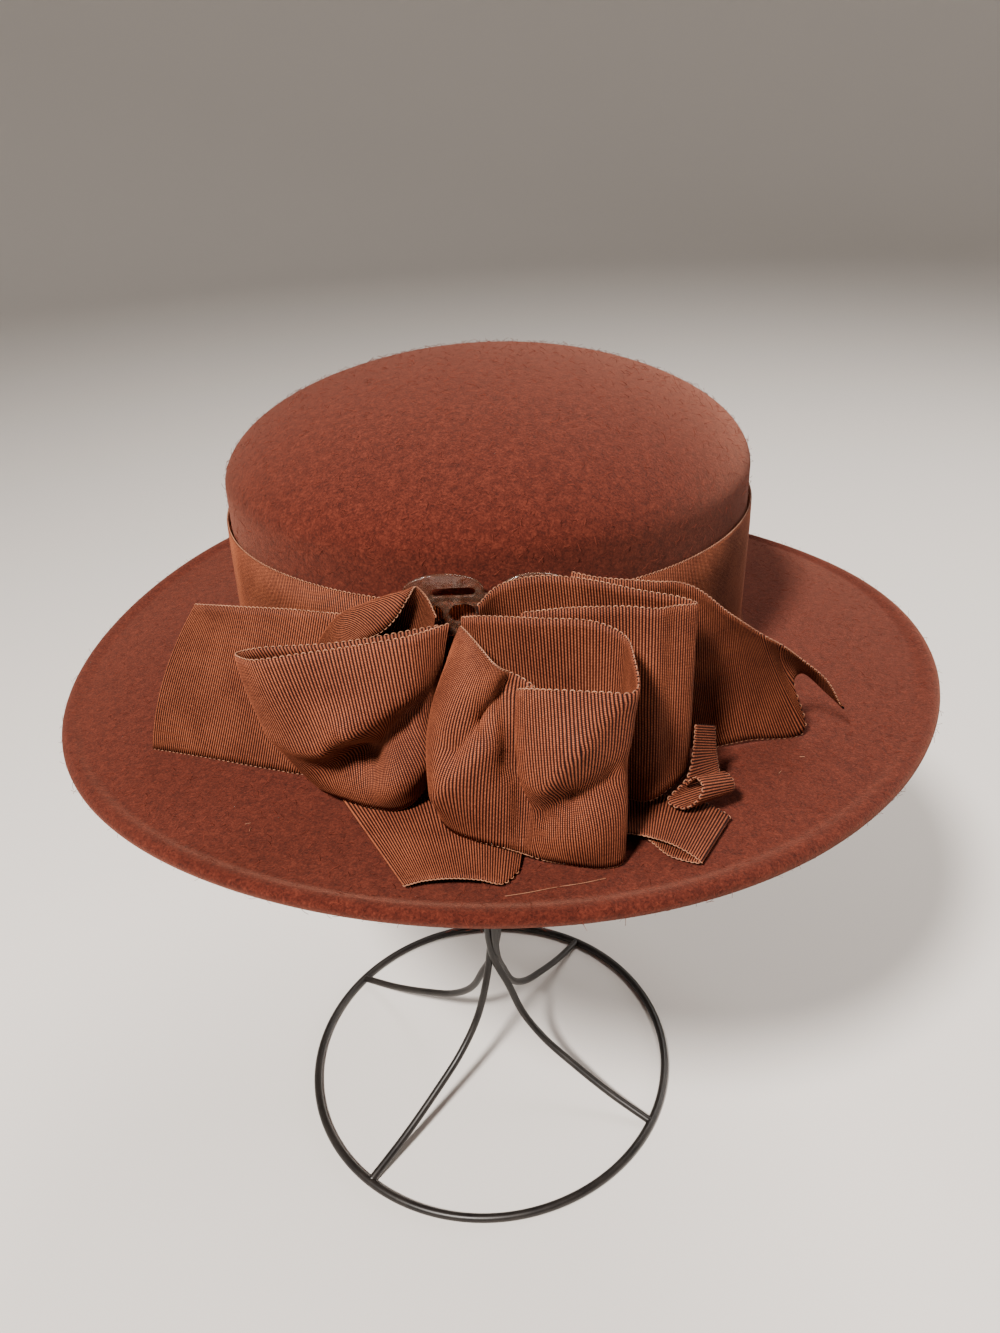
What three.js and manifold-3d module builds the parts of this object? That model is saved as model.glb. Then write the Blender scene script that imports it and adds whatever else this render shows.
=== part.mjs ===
// Felt boater hat on its black wire stand, in millimetres, +Z up.
// The origin is on the surface that the stand rests on, below the middle of the brim.
// The hat has a frame of its own: x to its right, y to its back,
// z up from the plane of the brim's edge.

import * as THREE from "three";
import { mergeVertices } from "three/addons/utils/BufferGeometryUtils.js";
import Module from "manifold-3d";

const wasm = await Module();
wasm.setup();

// Where the hat sits on the stand
const BRIM_HEIGHT = 230.6; // plane of the brim's edge above the surface
const HAT_ASIDE = 1.5; // the hat's own centre from the origin, to the right
const HAT_BACK = -1; // and to the back
const HAT_TIP_BACK = 2.3; // degrees, front edge up
const HAT_LEAN = 1.7; // degrees, right edge down
const HAT_TURN = 8.7; // degrees, clockwise seen from above

// Felt hood: half widths across and along the head
const CROWN = {
  across: 85.8,
  along: 100.9,
  aside: -2.2, // its middle from the brim's, to the left
  height: 100.1,
  shoulderFrom: 67.7, // the wall is upright below this
  squareness: 1.82, // of the shoulder's curve: 2 is a quarter ellipse
};
const BRIM = { across: 150, along: 161.6, aside: -2, foot: 6, dropAtHem: 4.6 };
// The brim isn't a true flat oval. A row holds the waves per turn, the wave's lift in mm and its share of
// the edge's reach, each with the part that goes with the cosine and with the sine of the azimuth.
const EDGE_WAVES = [
  { waves: 2, liftCos: -1.6, liftSin: -3.3, reachCos: 0.003, reachSin: -0.013 },
  { waves: 3, liftCos: 2, liftSin: 1.9, reachCos: 0.005, reachSin: -0.002 },
  { waves: 4, liftCos: 0, liftSin: 0, reachCos: 0.005, reachSin: 0.006 },
];
const FELT = 2.2; // wall
const FOOT_ROUND = 4; // fillet where the crown meets the brim
const HEM = { width: 7.5, thick: 4.2, ridge: 1.1 };
const AZIMUTHS = 48;

// Ribbon
const RIBBON_WIDTH = 50;
const RIBBON_THICK = 1;
const BAND_FOOT = 8.2; // lower edge of the band above the brim's plane
const GAP = 0.3; // between pieces that touch

// Stand
const RING_RADIUS = 83;
const RING_WIRE = 4.2;
const LEG_WIRE = 3.4;
const STAND_ASIDE = -16.2; // ring's centre from the origin, to the left
const POST_ASIDE = 5.2; // the legs meet this far right of the ring's centre
const HUB_HEIGHT = 67;
const BUNDLE = 1.6; // each wire's distance from the middle of the post
const DOME = { radius: 57, foot: 34, shoulder: 74, rim: 86 }; // heights above the brim's plane
const WIRE_SIDES = 6;

// Clear ornament
const ORNAMENT = { thick: 1.2, y: -105.4, turn: 9.3, foot: 49 };

const deg = THREE.MathUtils.degToRad;
const felt = new THREE.MeshStandardMaterial({ color: 0x7a3425, roughness: 0.95, metalness: 0 });
const grosgrain = new THREE.MeshStandardMaterial({ color: 0x8c4f2c, roughness: 0.7, metalness: 0 });
const clearPlastic = new THREE.MeshStandardMaterial({
  color: 0xd8c8ba,
  roughness: 0.15,
  metalness: 0,
  transparent: true,
  opacity: 0.6,
});
const blackWire = new THREE.MeshStandardMaterial({ color: 0x14110f, roughness: 0.45, metalness: 0.3 });

// Closed mesh from points and triangles
function solidGeometry(points, triangles) {
  const flat = new Float32Array(points.length * 3);
  points.forEach((p, i) => flat.set([p.x, p.y, p.z], i * 3));
  const geometry = new THREE.BufferGeometry();
  geometry.setAttribute("position", new THREE.BufferAttribute(flat, 3));
  geometry.setIndex(triangles.flat());
  geometry.computeVertexNormals();
  return geometry;
}

function toManifold(geometry) {
  const bare = geometry.clone();
  bare.deleteAttribute("normal");
  bare.deleteAttribute("uv");
  const merged = mergeVertices(bare, 1e-3);
  return new wasm.Manifold(
    new wasm.Mesh({
      numProp: 3,
      vertProperties: merged.attributes.position.array,
      triVerts: new Uint32Array(merged.index.array),
    }),
  );
}

function fromManifold(solid) {
  const mesh = solid.getMesh();
  const geometry = new THREE.BufferGeometry();
  geometry.setAttribute("position", new THREE.BufferAttribute(mesh.vertProperties, 3));
  geometry.setIndex(new THREE.BufferAttribute(mesh.triVerts, 1));
  geometry.computeVertexNormals();
  return geometry;
}

// Lift and reach of the brim's waves at an azimuth, all of them at the edge and nothing at the crown
function wavesAt(azimuth, out) {
  let lift = 0;
  let reach = 0;
  for (const w of EDGE_WAVES) {
    lift += w.liftCos * Math.cos(w.waves * azimuth) + w.liftSin * Math.sin(w.waves * azimuth);
    reach += w.reachCos * Math.cos(w.waves * azimuth) + w.reachSin * Math.sin(w.waves * azimuth);
  }
  return { lift: lift * out * out, reach: 1 + reach * out * out };
}

// A station of the felt's outer side: the size of its oval, its sideways place, its height
// and how far out it lies
function crownStation(scale, z) {
  return { a: CROWN.across * scale, b: CROWN.along * scale, x: CROWN.aside, z, out: 0 };
}

function brimStation(out, lift = 0) {
  return {
    a: THREE.MathUtils.lerp(CROWN.across, BRIM.across, out),
    b: THREE.MathUtils.lerp(CROWN.along, BRIM.along, out),
    x: THREE.MathUtils.lerp(CROWN.aside, BRIM.aside, out),
    z: BRIM.foot - BRIM.dropAtHem * out + lift,
    out,
  };
}

const SHOULDER_STEPS = 8;
const shoulder = [];
for (let i = 1; i <= SHOULDER_STEPS; i++) {
  const angle = ((SHOULDER_STEPS - i) / SHOULDER_STEPS) * (Math.PI / 2);
  const power = 2 / CROWN.squareness;
  shoulder.push(
    crownStation(
      Math.cos(angle) ** power,
      CROWN.shoulderFrom + (CROWN.height - CROWN.shoulderFrom) * Math.sin(angle) ** power,
    ),
  );
}
const brimReach = BRIM.across - CROWN.across;
const footOut = FOOT_ROUND / brimReach;
const hemOut = 1 - HEM.width / brimReach;
const crownWall = [crownStation(1, 40), crownStation(1, BRIM.foot + FOOT_ROUND)];
const footRound = [brimStation(footOut * 0.3, FOOT_ROUND * 0.3), brimStation(footOut)];
const outerSide = [
  ...shoulder,
  ...crownWall,
  ...footRound,
  brimStation(0.3),
  brimStation(0.6),
  brimStation(hemOut),
  brimStation(hemOut + 0.02, HEM.ridge),
  brimStation(0.97, HEM.ridge),
];

// The lip and the underside of the hem, then the inner side, one wall in from the outer one
const lip = [
  brimStation(1, -0.2),
  brimStation(1, -HEM.thick + HEM.ridge + 1.2),
  brimStation(0.97, -HEM.thick + HEM.ridge),
  brimStation(hemOut, -HEM.thick + HEM.ridge),
];
function inward(station, wall, sideShare) {
  return {
    ...station,
    a: Math.max(station.a - wall * sideShare, 0),
    b: Math.max(station.b - wall * sideShare, 0),
    z: station.z - wall * Math.sqrt(1 - sideShare * sideShare),
  };
}
function sideShareAt(index) {
  const before = outerSide[Math.max(index - 1, 0)];
  const after = outerSide[Math.min(index + 1, outerSide.length - 1)];
  const run = after.a - before.a;
  const fall = before.z - after.z;
  return fall / Math.hypot(run, fall);
}
const innerSide = [];
for (let i = outerSide.length - 3; i >= 0; i--) {
  innerSide.push(inward(outerSide[i], FELT, sideShareAt(i)));
}

// Surface of stacked ovals that starts and ends at a pole on the axis
function ovalSolid(stations, topPole, bottomPole) {
  const points = [];
  const triangles = [];
  stations.forEach((s) => {
    for (let k = 0; k < AZIMUTHS; k++) {
      const azimuth = (k / AZIMUTHS) * 2 * Math.PI;
      const { lift, reach } = wavesAt(azimuth, s.out);
      points.push(
        new THREE.Vector3(
          s.x + s.a * reach * Math.cos(azimuth),
          s.b * reach * Math.sin(azimuth),
          s.z + lift,
        ),
      );
    }
  });
  const at = (row, k) => row * AZIMUTHS + (k % AZIMUTHS);
  for (let row = 0; row + 1 < stations.length; row++)
    for (let k = 0; k < AZIMUTHS; k++) {
      triangles.push([at(row, k), at(row + 1, k), at(row + 1, k + 1)]);
      triangles.push([at(row, k), at(row + 1, k + 1), at(row, k + 1)]);
    }
  if (topPole) {
    const top = points.push(topPole) - 1;
    const bottom = points.push(bottomPole) - 1;
    const last = stations.length - 1;
    for (let k = 0; k < AZIMUTHS; k++) {
      triangles.push([top, at(0, k), at(0, k + 1)]);
      triangles.push([bottom, at(last, k + 1), at(last, k)]);
    }
  } else {
    const last = stations.length - 1;
    for (let k = 0; k < AZIMUTHS; k++) {
      triangles.push([at(last, k), at(0, k), at(0, k + 1)]);
      triangles.push([at(last, k), at(0, k + 1), at(last, k + 1)]);
    }
  }
  return solidGeometry(points, triangles);
}

function feltBody() {
  const stations = [...outerSide.slice(1), ...lip, ...innerSide.slice(0, -1)];
  const crownTop = new THREE.Vector3(CROWN.aside, 0, CROWN.height + 0.4);
  const crownInside = new THREE.Vector3(CROWN.aside, 0, CROWN.height + 0.4 - FELT);
  return ovalSolid(stations, crownTop, crownInside);
}

// Closed ring of ribbon round the crown, following the rounded foot of the crown at its lower edge
function ribbonBand() {
  const top = BAND_FOOT + RIBBON_WIDTH - 1.6;
  const rows = [
    { z: top, off: GAP },
    { z: 40, off: GAP },
    { z: BRIM.foot + FOOT_ROUND + 1, off: GAP },
    { z: BAND_FOOT, off: GAP + 1.4 },
  ];
  const ring = (row, more) => ({
    a: CROWN.across + row.off + more,
    b: CROWN.along + row.off + more,
    x: CROWN.aside,
    z: row.z,
    out: 0,
  });
  const outside = rows.map((row) => ring(row, RIBBON_THICK));
  const inside = rows.map((row) => ring(row, 0)).reverse();
  return ovalSolid([...outside, ...inside]);
}

// Direction that a ribbon's middle sheet faces at one of its points
function sheetNormal(middle, i, j) {
  const last = middle.length - 1;
  const across = middle[0].length - 1;
  const along = middle[Math.min(i + 1, last)][j].clone().sub(middle[Math.max(i - 1, 0)][j]);
  const down = middle[i][Math.min(j + 1, across)].clone().sub(middle[i][Math.max(j - 1, 0)]);
  return down.cross(along).normalize();
}

// Pushes the points of a ribbon's middle sheet along its evened normals, as far as its folds say
function pressFolds(middle, folds, steps) {
  const across = middle[0].length - 1;
  const centre = middle.map((line) => line[0].clone().lerp(line[across], 0.5));
  const travelled = [0];
  for (let i = 1; i < centre.length; i++)
    travelled.push(travelled[i - 1] + centre[i].distanceTo(centre[i - 1]));
  const travelledAt = (row) => {
    const i = Math.min(Math.floor(row * steps), travelled.length - 2);
    return THREE.MathUtils.lerp(travelled[i], travelled[i + 1], row * steps - i);
  };
  const lineOf = ({ fromRow, fromShare, toRow, toShare }) =>
    new THREE.Line3(
      new THREE.Vector3(travelledAt(fromRow), fromShare * RIBBON_WIDTH, 0),
      new THREE.Vector3(travelledAt(toRow), toShare * RIBBON_WIDTH, 0),
    );
  const lines = folds.map(lineOf);
  const nearest = new THREE.Vector3();
  const pushes = middle.map((line, i) =>
    line.map((_, j) => {
      const place = new THREE.Vector3(travelled[i], (j / across) * RIBBON_WIDTH, 0);
      let push = 0;
      folds.forEach(({ depth, width, softness }, k) => {
        lines[k].closestPointToPoint(place, true, nearest);
        push += depth * Math.exp(-((place.distanceTo(nearest) / width) ** softness));
      });
      return push;
    }),
  );
  const normals = middle.map((line, i) => line.map((_, j) => sheetNormal(middle, i, j)));
  middle.forEach((line, i) =>
    line.forEach((point, j) => {
      const evened = new THREE.Vector3();
      for (let k = Math.max(i - 2, 0); k <= Math.min(i + 2, middle.length - 1); k++)
        evened.add(normals[k][j]);
      point.addScaledVector(evened.normalize(), pushes[i][j]);
    }),
  );
}

// A length of ribbon laid through rows of two points, one on each woven edge.
// belly, rise and side: how far the middle of the ribbon stands out from the straight line between
// them, above it and to the right of it.
function ribbonLength(rows, { steps = 3, across = 4, folds = [] } = {}) {
  const railA = new THREE.CatmullRomCurve3(rows.map((r) => new THREE.Vector3(r.ax, r.ay, r.az)));
  const railB = new THREE.CatmullRomCurve3(rows.map((r) => new THREE.Vector3(r.bx, r.by, r.bz)));
  const bulges = new THREE.CatmullRomCurve3(
    rows.map((r) => new THREE.Vector3(r.belly, r.side ?? 0, r.rise ?? 0)),
  );
  const count = (rows.length - 1) * steps;
  const middle = [];
  for (let i = 0; i <= count; i++) {
    const t = i / count;
    const a = railA.getPoint(t);
    const b = railB.getPoint(t);
    const along = railA.getTangent(t).add(railB.getTangent(t));
    const { x: belly, y: side, z: rise } = bulges.getPoint(t);
    const bulge = new THREE.Vector3().subVectors(b, a).cross(along).normalize().multiplyScalar(belly);
    bulge.x += side;
    bulge.z += rise;
    const line = [];
    for (let j = 0; j <= across; j++) {
      const s = j / across;
      line.push(new THREE.Vector3().lerpVectors(a, b, s).addScaledVector(bulge, 4 * s * (1 - s)));
    }
    middle.push(line);
  }
  pressFolds(middle, folds, steps);
  const points = [];
  for (const side of [0.5, -0.5])
    for (let i = 0; i <= count; i++)
      for (let j = 0; j <= across; j++)
        points.push(middle[i][j].clone().addScaledVector(sheetNormal(middle, i, j), side * RIBBON_THICK));
  const width = across + 1;
  const layer = (count + 1) * width;
  const at = (side, i, j) => side * layer + i * width + j;
  const triangles = [];
  const quad = (p, q, r, s) => triangles.push([p, q, r], [p, r, s]);
  for (let i = 0; i < count; i++) {
    for (let j = 0; j < across; j++) {
      quad(at(0, i, j), at(0, i, j + 1), at(0, i + 1, j + 1), at(0, i + 1, j));
      quad(at(1, i, j), at(1, i + 1, j), at(1, i + 1, j + 1), at(1, i, j + 1));
    }
    quad(at(0, i, 0), at(0, i + 1, 0), at(1, i + 1, 0), at(1, i, 0));
    quad(at(0, i, across), at(1, i, across), at(1, i + 1, across), at(0, i + 1, across));
  }
  for (let j = 0; j < across; j++) {
    quad(at(0, 0, j), at(1, 0, j), at(1, 0, j + 1), at(0, 0, j + 1));
    quad(at(0, count, j), at(0, count, j + 1), at(1, count, j + 1), at(1, count, j));
  }
  return solidGeometry(points, triangles);
}

// The bow's lengths of ribbon. Each row is a fold or a section: a is on the upper or back woven edge,
// b on the other.
const BOW = {
  tail_left: [
    { ax: -73.3, ay: -91, az: 49, bx: -93.9, by: -92.6, bz: 2.4, belly: 0, side: -3 },
    { ax: -59, ay: -94, az: 50, bx: -73.6, by: -98.8, bz: 4.2, belly: 0 },
    { ax: -44, ay: -98, az: 51.5, bx: -55.5, by: -104, bz: 5.2, belly: 0 },
    { ax: -28, ay: -102, az: 52.5, bx: -38, by: -107.6, bz: 5.7, belly: 0 },
    { ax: -13, ay: -104, az: 54.5, bx: -16, by: -107.4, bz: 6.4, belly: 0 },
  ],
  tail_right: [
    { ax: 31, ay: -98.2, az: 64, bx: 31, by: -97.6, bz: 14, belly: 0 },
    { ax: 37.6, ay: -100.4, az: 63.6, bx: 39, by: -96.6, bz: 14, belly: 0 },
    { ax: 50.6, ay: -99.8, az: 62.6, bx: 54, by: -93.4, bz: 13, belly: 0 },
    { ax: 61, ay: -97.6, az: 60.6, bx: 68, by: -86.5, bz: 6.4, belly: -1 },
    { ax: 71.4, ay: -93.6, az: 51.7, bx: 81, by: -80, bz: 6.2, belly: -4 },
    { ax: 80.8, ay: -89, az: 43.8, bx: 97.6, by: -73, bz: 5.3, belly: -4 },
    { ax: 87, ay: -85.5, az: 39, bx: 92.5, by: -76, bz: 24, belly: -2 },
    { ax: 92.4, ay: -82, az: 33.8, bx: 96.5, by: -70, bz: 23, belly: 0 },
    { ax: 101.3, ay: -76.5, az: 24.4, bx: 103, by: -72, bz: 18, belly: 0 },
    { ax: 107.6, ay: -72, az: 13.6, bx: 109, by: -69.5, bz: 11.6, belly: 0 },
  ],
  loop_left_front: [
    { ax: 0, ay: -114.6, az: 56, bx: -1, by: -111.6, bz: 14, belly: 0 },
    { ax: -24.5, ay: -119.8, az: 53, bx: -17, by: -114, bz: 9.5, belly: 0 },
    { ax: -45.5, ay: -120.5, az: 51, bx: -30, by: -114.4, bz: 8, belly: 1 },
    { ax: -49.2, ay: -123.6, az: 51, bx: -34.1, by: -117.4, bz: 8.3, belly: 3.5 },
    { ax: -44.6, ay: -126.6, az: 51, bx: -27.5, by: -121.5, bz: 8.2, belly: 3.5 },
    { ax: -32.8, ay: -124.6, az: 52, bx: -18.5, by: -124.8, bz: 8.3, belly: 3 },
    { ax: -18.3, ay: -122.9, az: 54, bx: -10.4, by: -125, bz: 8.8, belly: 4 },
    { ax: -6.2, ay: -121.2, az: 56, bx: -5.4, by: -121.6, bz: 12.6, belly: 2 },
    { ax: 3, ay: -117.6, az: 58, bx: -4, by: -117, bz: 27, belly: 0 },
  ],
  loop_left_top: [
    { ax: -31, ay: -116.8, az: 50.2, bx: -36, by: -108.4, bz: 12, belly: 0, rise: 2 },
    { ax: -22, ay: -116.8, az: 51.8, bx: -42, by: -109.7, bz: 22, belly: 0, rise: 10 },
    { ax: -14.6, ay: -116.5, az: 54.9, bx: -38, by: -109.6, bz: 30, belly: 0, rise: 14 },
    { ax: -10.5, ay: -116, az: 58.8, bx: -31, by: -109.6, bz: 32, belly: 0, rise: 13 },
    { ax: -7.6, ay: -115, az: 63.4, bx: -23, by: -109.6, bz: 34, belly: 0, rise: 10 },
    { ax: -6, ay: -112.8, az: 65.2, bx: -14, by: -109.6, bz: 34, belly: 0, rise: 6 },
    { ax: -3.5, ay: -111.8, az: 62, bx: -9, by: -109.8, bz: 30, belly: 0, rise: 3 },
    { ax: -1.2, ay: -113, az: 57.5, bx: -6, by: -110.6, bz: 26, belly: 0 },
  ],
  loop_centre: [
    { ax: 5.6, ay: -115.4, az: 58.6, bx: 4, by: -113, bz: 14, belly: 0 },
    { ax: 10.4, ay: -117.4, az: 60, bx: 12, by: -115.5, bz: 14, belly: 0 },
    { ax: 24.1, ay: -118.8, az: 60.5, bx: 27, by: -117.5, bz: 13, belly: 0 },
    { ax: 37.8, ay: -118.8, az: 60, bx: 38.5, by: -120, bz: 13, belly: 0 },
    { ax: 44.6, ay: -122.2, az: 58.5, bx: 43.5, by: -124, bz: 12, belly: 0 },
    { ax: 46.7, ay: -129, az: 57, bx: 45.3, by: -131, bz: 10.4, belly: 0 },
    { ax: 46.7, ay: -136.2, az: 52.5, bx: 46, by: -137.6, bz: 5.4, belly: 0 },
    { ax: 39.8, ay: -138.2, az: 52.3, bx: 41.5, by: -139.4, bz: 4.7, belly: -2 },
    { ax: 31, ay: -138.2, az: 52.2, bx: 35.9, by: -139.4, bz: 4.8, belly: -4 },
    { ax: 23, ay: -138.2, az: 52.1, bx: 29.2, by: -139.2, bz: 5.6, belly: -2, side: -1 },
    { ax: 21.3, ay: -136.6, az: 51, bx: 26.5, by: -139, bz: 6, belly: 0, side: -2 },
    { ax: 23, ay: -134.2, az: 50.4, bx: 24.5, by: -138.9, bz: 6.6, belly: 1, side: -2 },
    { ax: 24.4, ay: -132.6, az: 49.6, bx: 22.8, by: -138.8, bz: 7.2, belly: 2, side: -1 },
    { ax: 22.3, ay: -131.8, az: 50.4, bx: 20.9, by: -138.8, bz: 7.8, belly: 2 },
    { ax: 18.7, ay: -132.4, az: 52.6, bx: 18, by: -139, bz: 8.9, belly: 0 },
    { ax: 15.2, ay: -131.6, az: 54.9, bx: 9.6, by: -137, bz: 9.3, belly: -5 },
    { ax: 11.9, ay: -128.4, az: 57, bx: 2.4, by: -132.4, bz: 9.3, belly: -7 },
    { ax: 8.6, ay: -123.4, az: 57.8, bx: -1, by: -125, bz: 11.8, belly: -6 },
    { ax: 5.9, ay: -119.4, az: 58.2, bx: 0.5, by: -119.6, bz: 19, belly: -3 },
  ],
  loop_right: [
    { ax: 9.2, ay: -113.6, az: 61, bx: 12, by: -110.5, bz: 14, belly: 0 },
    { ax: 13.6, ay: -107, az: 63.5, bx: 17, by: -105.5, bz: 14, belly: 0 },
    { ax: 21.7, ay: -104.2, az: 65, bx: 26, by: -101.4, bz: 15, belly: 0 },
    { ax: 33.5, ay: -104.6, az: 65, bx: 38, by: -98.4, bz: 15, belly: 0 },
    { ax: 48.4, ay: -106.5, az: 63, bx: 52, by: -98.6, bz: 14, belly: 0 },
    { ax: 58, ay: -105.5, az: 61, bx: 60, by: -101.5, bz: 13, belly: 0 },
    { ax: 61.8, ay: -106.5, az: 60, bx: 62.4, by: -106.5, bz: 13, belly: 0 },
    { ax: 57.4, ay: -109.4, az: 60.5, bx: 58.3, by: -114.3, bz: 12.5, belly: 0 },
    { ax: 51.7, ay: -113.3, az: 61, bx: 52.2, by: -119, bz: 10.8, belly: 0 },
    { ax: 41.6, ay: -114.6, az: 62, bx: 44.5, by: -117.4, bz: 10.6, belly: 0 },
    { ax: 31.8, ay: -115.6, az: 62, bx: 34, by: -115, bz: 12, belly: 0 },
    { ax: 20.1, ay: -117.1, az: 61, bx: 21, by: -114.4, bz: 12, belly: 0 },
  ],
  loop_lower_left: [
    { ax: 0, ay: -118, az: 5.9, bx: 10, by: -145, bz: 5.4, belly: 0 },
    { ax: -16, ay: -118, az: 5.8, bx: -2, by: -147.5, bz: 5.4, belly: 0 },
    { ax: -28.5, ay: -118.5, az: 6.3, bx: -4.8, by: -151.6, bz: 6, belly: 0 },
    { ax: -18, ay: -118, az: 7.1, bx: -0.4, by: -150.6, bz: 6.9, belly: 0 },
    { ax: -4, ay: -118, az: 7.3, bx: 6.5, by: -150, bz: 7.7, belly: 0 },
    { ax: 8, ay: -119, az: 8, bx: 13, by: -149.6, bz: 7.4, belly: 0 },
    { ax: 17, ay: -122, az: 7.8, bx: 18.2, by: -148.6, bz: 5.8, belly: 0 },
    { ax: 22, ay: -124, az: 7.2, bx: 21.6, by: -142.6, bz: 5.2, belly: 0 },
  ],
  loop_lower_right: [
    { ax: 42, ay: -112.5, az: 5.4, bx: 43.5, by: -121, bz: 5.2, belly: 0 },
    { ax: 52, ay: -113, az: 5.2, bx: 52, by: -127, bz: 4.9, belly: 0 },
    { ax: 63, ay: -115, az: 4.9, bx: 58, by: -133.4, bz: 4.6, belly: 0 },
    { ax: 73, ay: -117.4, az: 5.3, bx: 65, by: -135.6, bz: 5, belly: 0 },
    { ax: 65, ay: -112, az: 6.6, bx: 59, by: -132, bz: 6.8, belly: 0 },
    { ax: 52, ay: -111, az: 6.8, bx: 51.5, by: -129.6, bz: 7.5, belly: 0 },
    { ax: 42, ay: -111, az: 7, bx: 43.5, by: -128.6, bz: 7.5, belly: 0 },
  ],
  curl_right: [
    { ax: 63.8, ay: -106.5, az: 26.3, bx: 68.9, by: -102, bz: 23.5, belly: 0 },
    { ax: 63.6, ay: -108, az: 20, bx: 69.6, by: -103, bz: 17, belly: 0 },
    { ax: 62.2, ay: -112.6, az: 14, bx: 70.4, by: -105, bz: 12.6, belly: 0 },
    { ax: 57.4, ay: -117.5, az: 9.7, bx: 71.2, by: -109, bz: 10, belly: 0 },
    { ax: 61.2, ay: -120.3, az: 9.6, bx: 72.4, by: -112, bz: 9.6, belly: 0 },
    { ax: 64.7, ay: -120.5, az: 12.9, bx: 73.7, by: -113, bz: 11, belly: 0 },
    { ax: 65.7, ay: -118, az: 15.1, bx: 73.7, by: -112.2, bz: 13, belly: 0 },
    { ax: 64, ay: -115.7, az: 16, bx: 71.8, by: -110.4, bz: 14.4, belly: 0 },
    { ax: 61.5, ay: -114.6, az: 12.9, bx: 70, by: -109.4, bz: 13, belly: 0 },
  ],
};

// Steps between rows and strips across, where a length has more folds than the rest
const RIBBON_GRID = {
  loop_centre: { steps: 2, across: 6 },
  loop_left_front: { steps: 3, across: 6 },
};

// Folds and dents pressed into the bow's lengths. Each runs straight between two places, given by the row
// in BOW and by the share across from a to b. A depth has the sense of a belly, the width is its reach, and
// a softness of 2 is rounded and of 1 a sharp crease.
const FOLDS = {
  loop_centre: [
    { fromRow: 6.7, fromShare: 0.56, toRow: 8.8, toShare: 0.8, depth: 2.9, width: 5, softness: 1.3 },
    { fromRow: 6.2, fromShare: 0.05, toRow: 7.6, toShare: 0.33, depth: -2.2, width: 4, softness: 1.1 },
    { fromRow: 7.6, fromShare: 0.33, toRow: 8.8, toShare: 0.62, depth: -2.2, width: 4, softness: 1.1 },
    { fromRow: 7.2, fromShare: 0.9, toRow: 9, toShare: 0.95, depth: -1.8, width: 6, softness: 2 },
    { fromRow: 13.7, fromShare: 0.12, toRow: 14.7, toShare: 0.28, depth: 0.9, width: 4, softness: 1.4 },
    { fromRow: 14.7, fromShare: 0.28, toRow: 15.7, toShare: 0.48, depth: 1.4, width: 4.5, softness: 1.4 },
    { fromRow: 13.5, fromShare: 0.1, toRow: 13.3, toShare: 0.5, depth: 0.8, width: 4, softness: 2 },
    { fromRow: 14.8, fromShare: 0.47, toRow: 15.8, toShare: 0.8, depth: -1.8, width: 5, softness: 1.6 },
  ],
  loop_left_front: [
    { fromRow: 4.3, fromShare: 0.78, toRow: 5.2, toShare: 0.72, depth: -4, width: 6.5, softness: 2 },
    { fromRow: 5.2, fromShare: 0.7, toRow: 6.6, toShare: 0.52, depth: -7, width: 7, softness: 2 },
    { fromRow: 3.4, fromShare: 0.5, toRow: 4.6, toShare: 0.58, depth: 1.2, width: 3.5, softness: 1.4 },
    { fromRow: 4.6, fromShare: 0.56, toRow: 5.4, toShare: 0.45, depth: 2.2, width: 3.5, softness: 1.2 },
    { fromRow: 5.4, fromShare: 0.45, toRow: 6.7, toShare: 0.34, depth: 2.2, width: 3.5, softness: 1.2 },
    { fromRow: 5.6, fromShare: 0.85, toRow: 6.9, toShare: 0.78, depth: 2, width: 4.5, softness: 2 },
  ],
  loop_right: [
    { fromRow: 7.3, fromShare: 0.05, toRow: 7.2, toShare: 0.9, depth: 0.8, width: 3, softness: 2 },
    { fromRow: 8.4, fromShare: 0, toRow: 8.6, toShare: 0.5, depth: 1.5, width: 5, softness: 2 },
  ],
  tail_right: [
    { fromRow: 2.6, fromShare: 0.1, toRow: 3.4, toShare: 0.9, depth: -1.5, width: 5, softness: 2 },
  ],
};

// Openwork of two arches side by side on a plain foot, cut from sheet
function ornament() {
  const outline = new THREE.Shape();
  outline.moveTo(-11, ORNAMENT.foot);
  outline.lineTo(32, ORNAMENT.foot);
  outline.lineTo(32, 61);
  outline.quadraticCurveTo(30, 66.6, 24, 66.6);
  outline.quadraticCurveTo(17, 66.6, 14, 60.5);
  outline.lineTo(9.6, 60.5);
  outline.quadraticCurveTo(7, 66, -1, 66);
  outline.quadraticCurveTo(-8, 66, -11, 62);
  const slot = (x0, x1, z0, z1) => {
    const r = (z1 - z0) / 2;
    const ends = [
      [x0 + r, Math.PI / 2],
      [x1 - r, -Math.PI / 2],
    ];
    const points = ends.flatMap(([x, start]) =>
      [0, 1, 2, 3, 4].map(
        (k) =>
          new THREE.Vector2(
            x + r * Math.cos(start + (k * Math.PI) / 4),
            z0 + r + r * Math.sin(start + (k * Math.PI) / 4),
          ),
      ),
    );
    return new THREE.Path(points);
  };
  outline.holes.push(slot(-3.5, 7.5, 59.6, 62.4));
  outline.holes.push(slot(-8.5, -0.8, 52.5, 57.8));
  outline.holes.push(slot(0.8, 7.5, 52.5, 57.8));
  outline.holes.push(slot(18.5, 29, 59.6, 62.6));
  const geometry = new THREE.ExtrudeGeometry(outline, {
    depth: ORNAMENT.thick,
    bevelEnabled: false,
    curveSegments: 6,
  });
  geometry.rotateX(Math.PI / 2); // the drawing's second axis becomes height
  geometry.translate(0, ORNAMENT.thick / 2, 0);
  return geometry;
}

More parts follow.
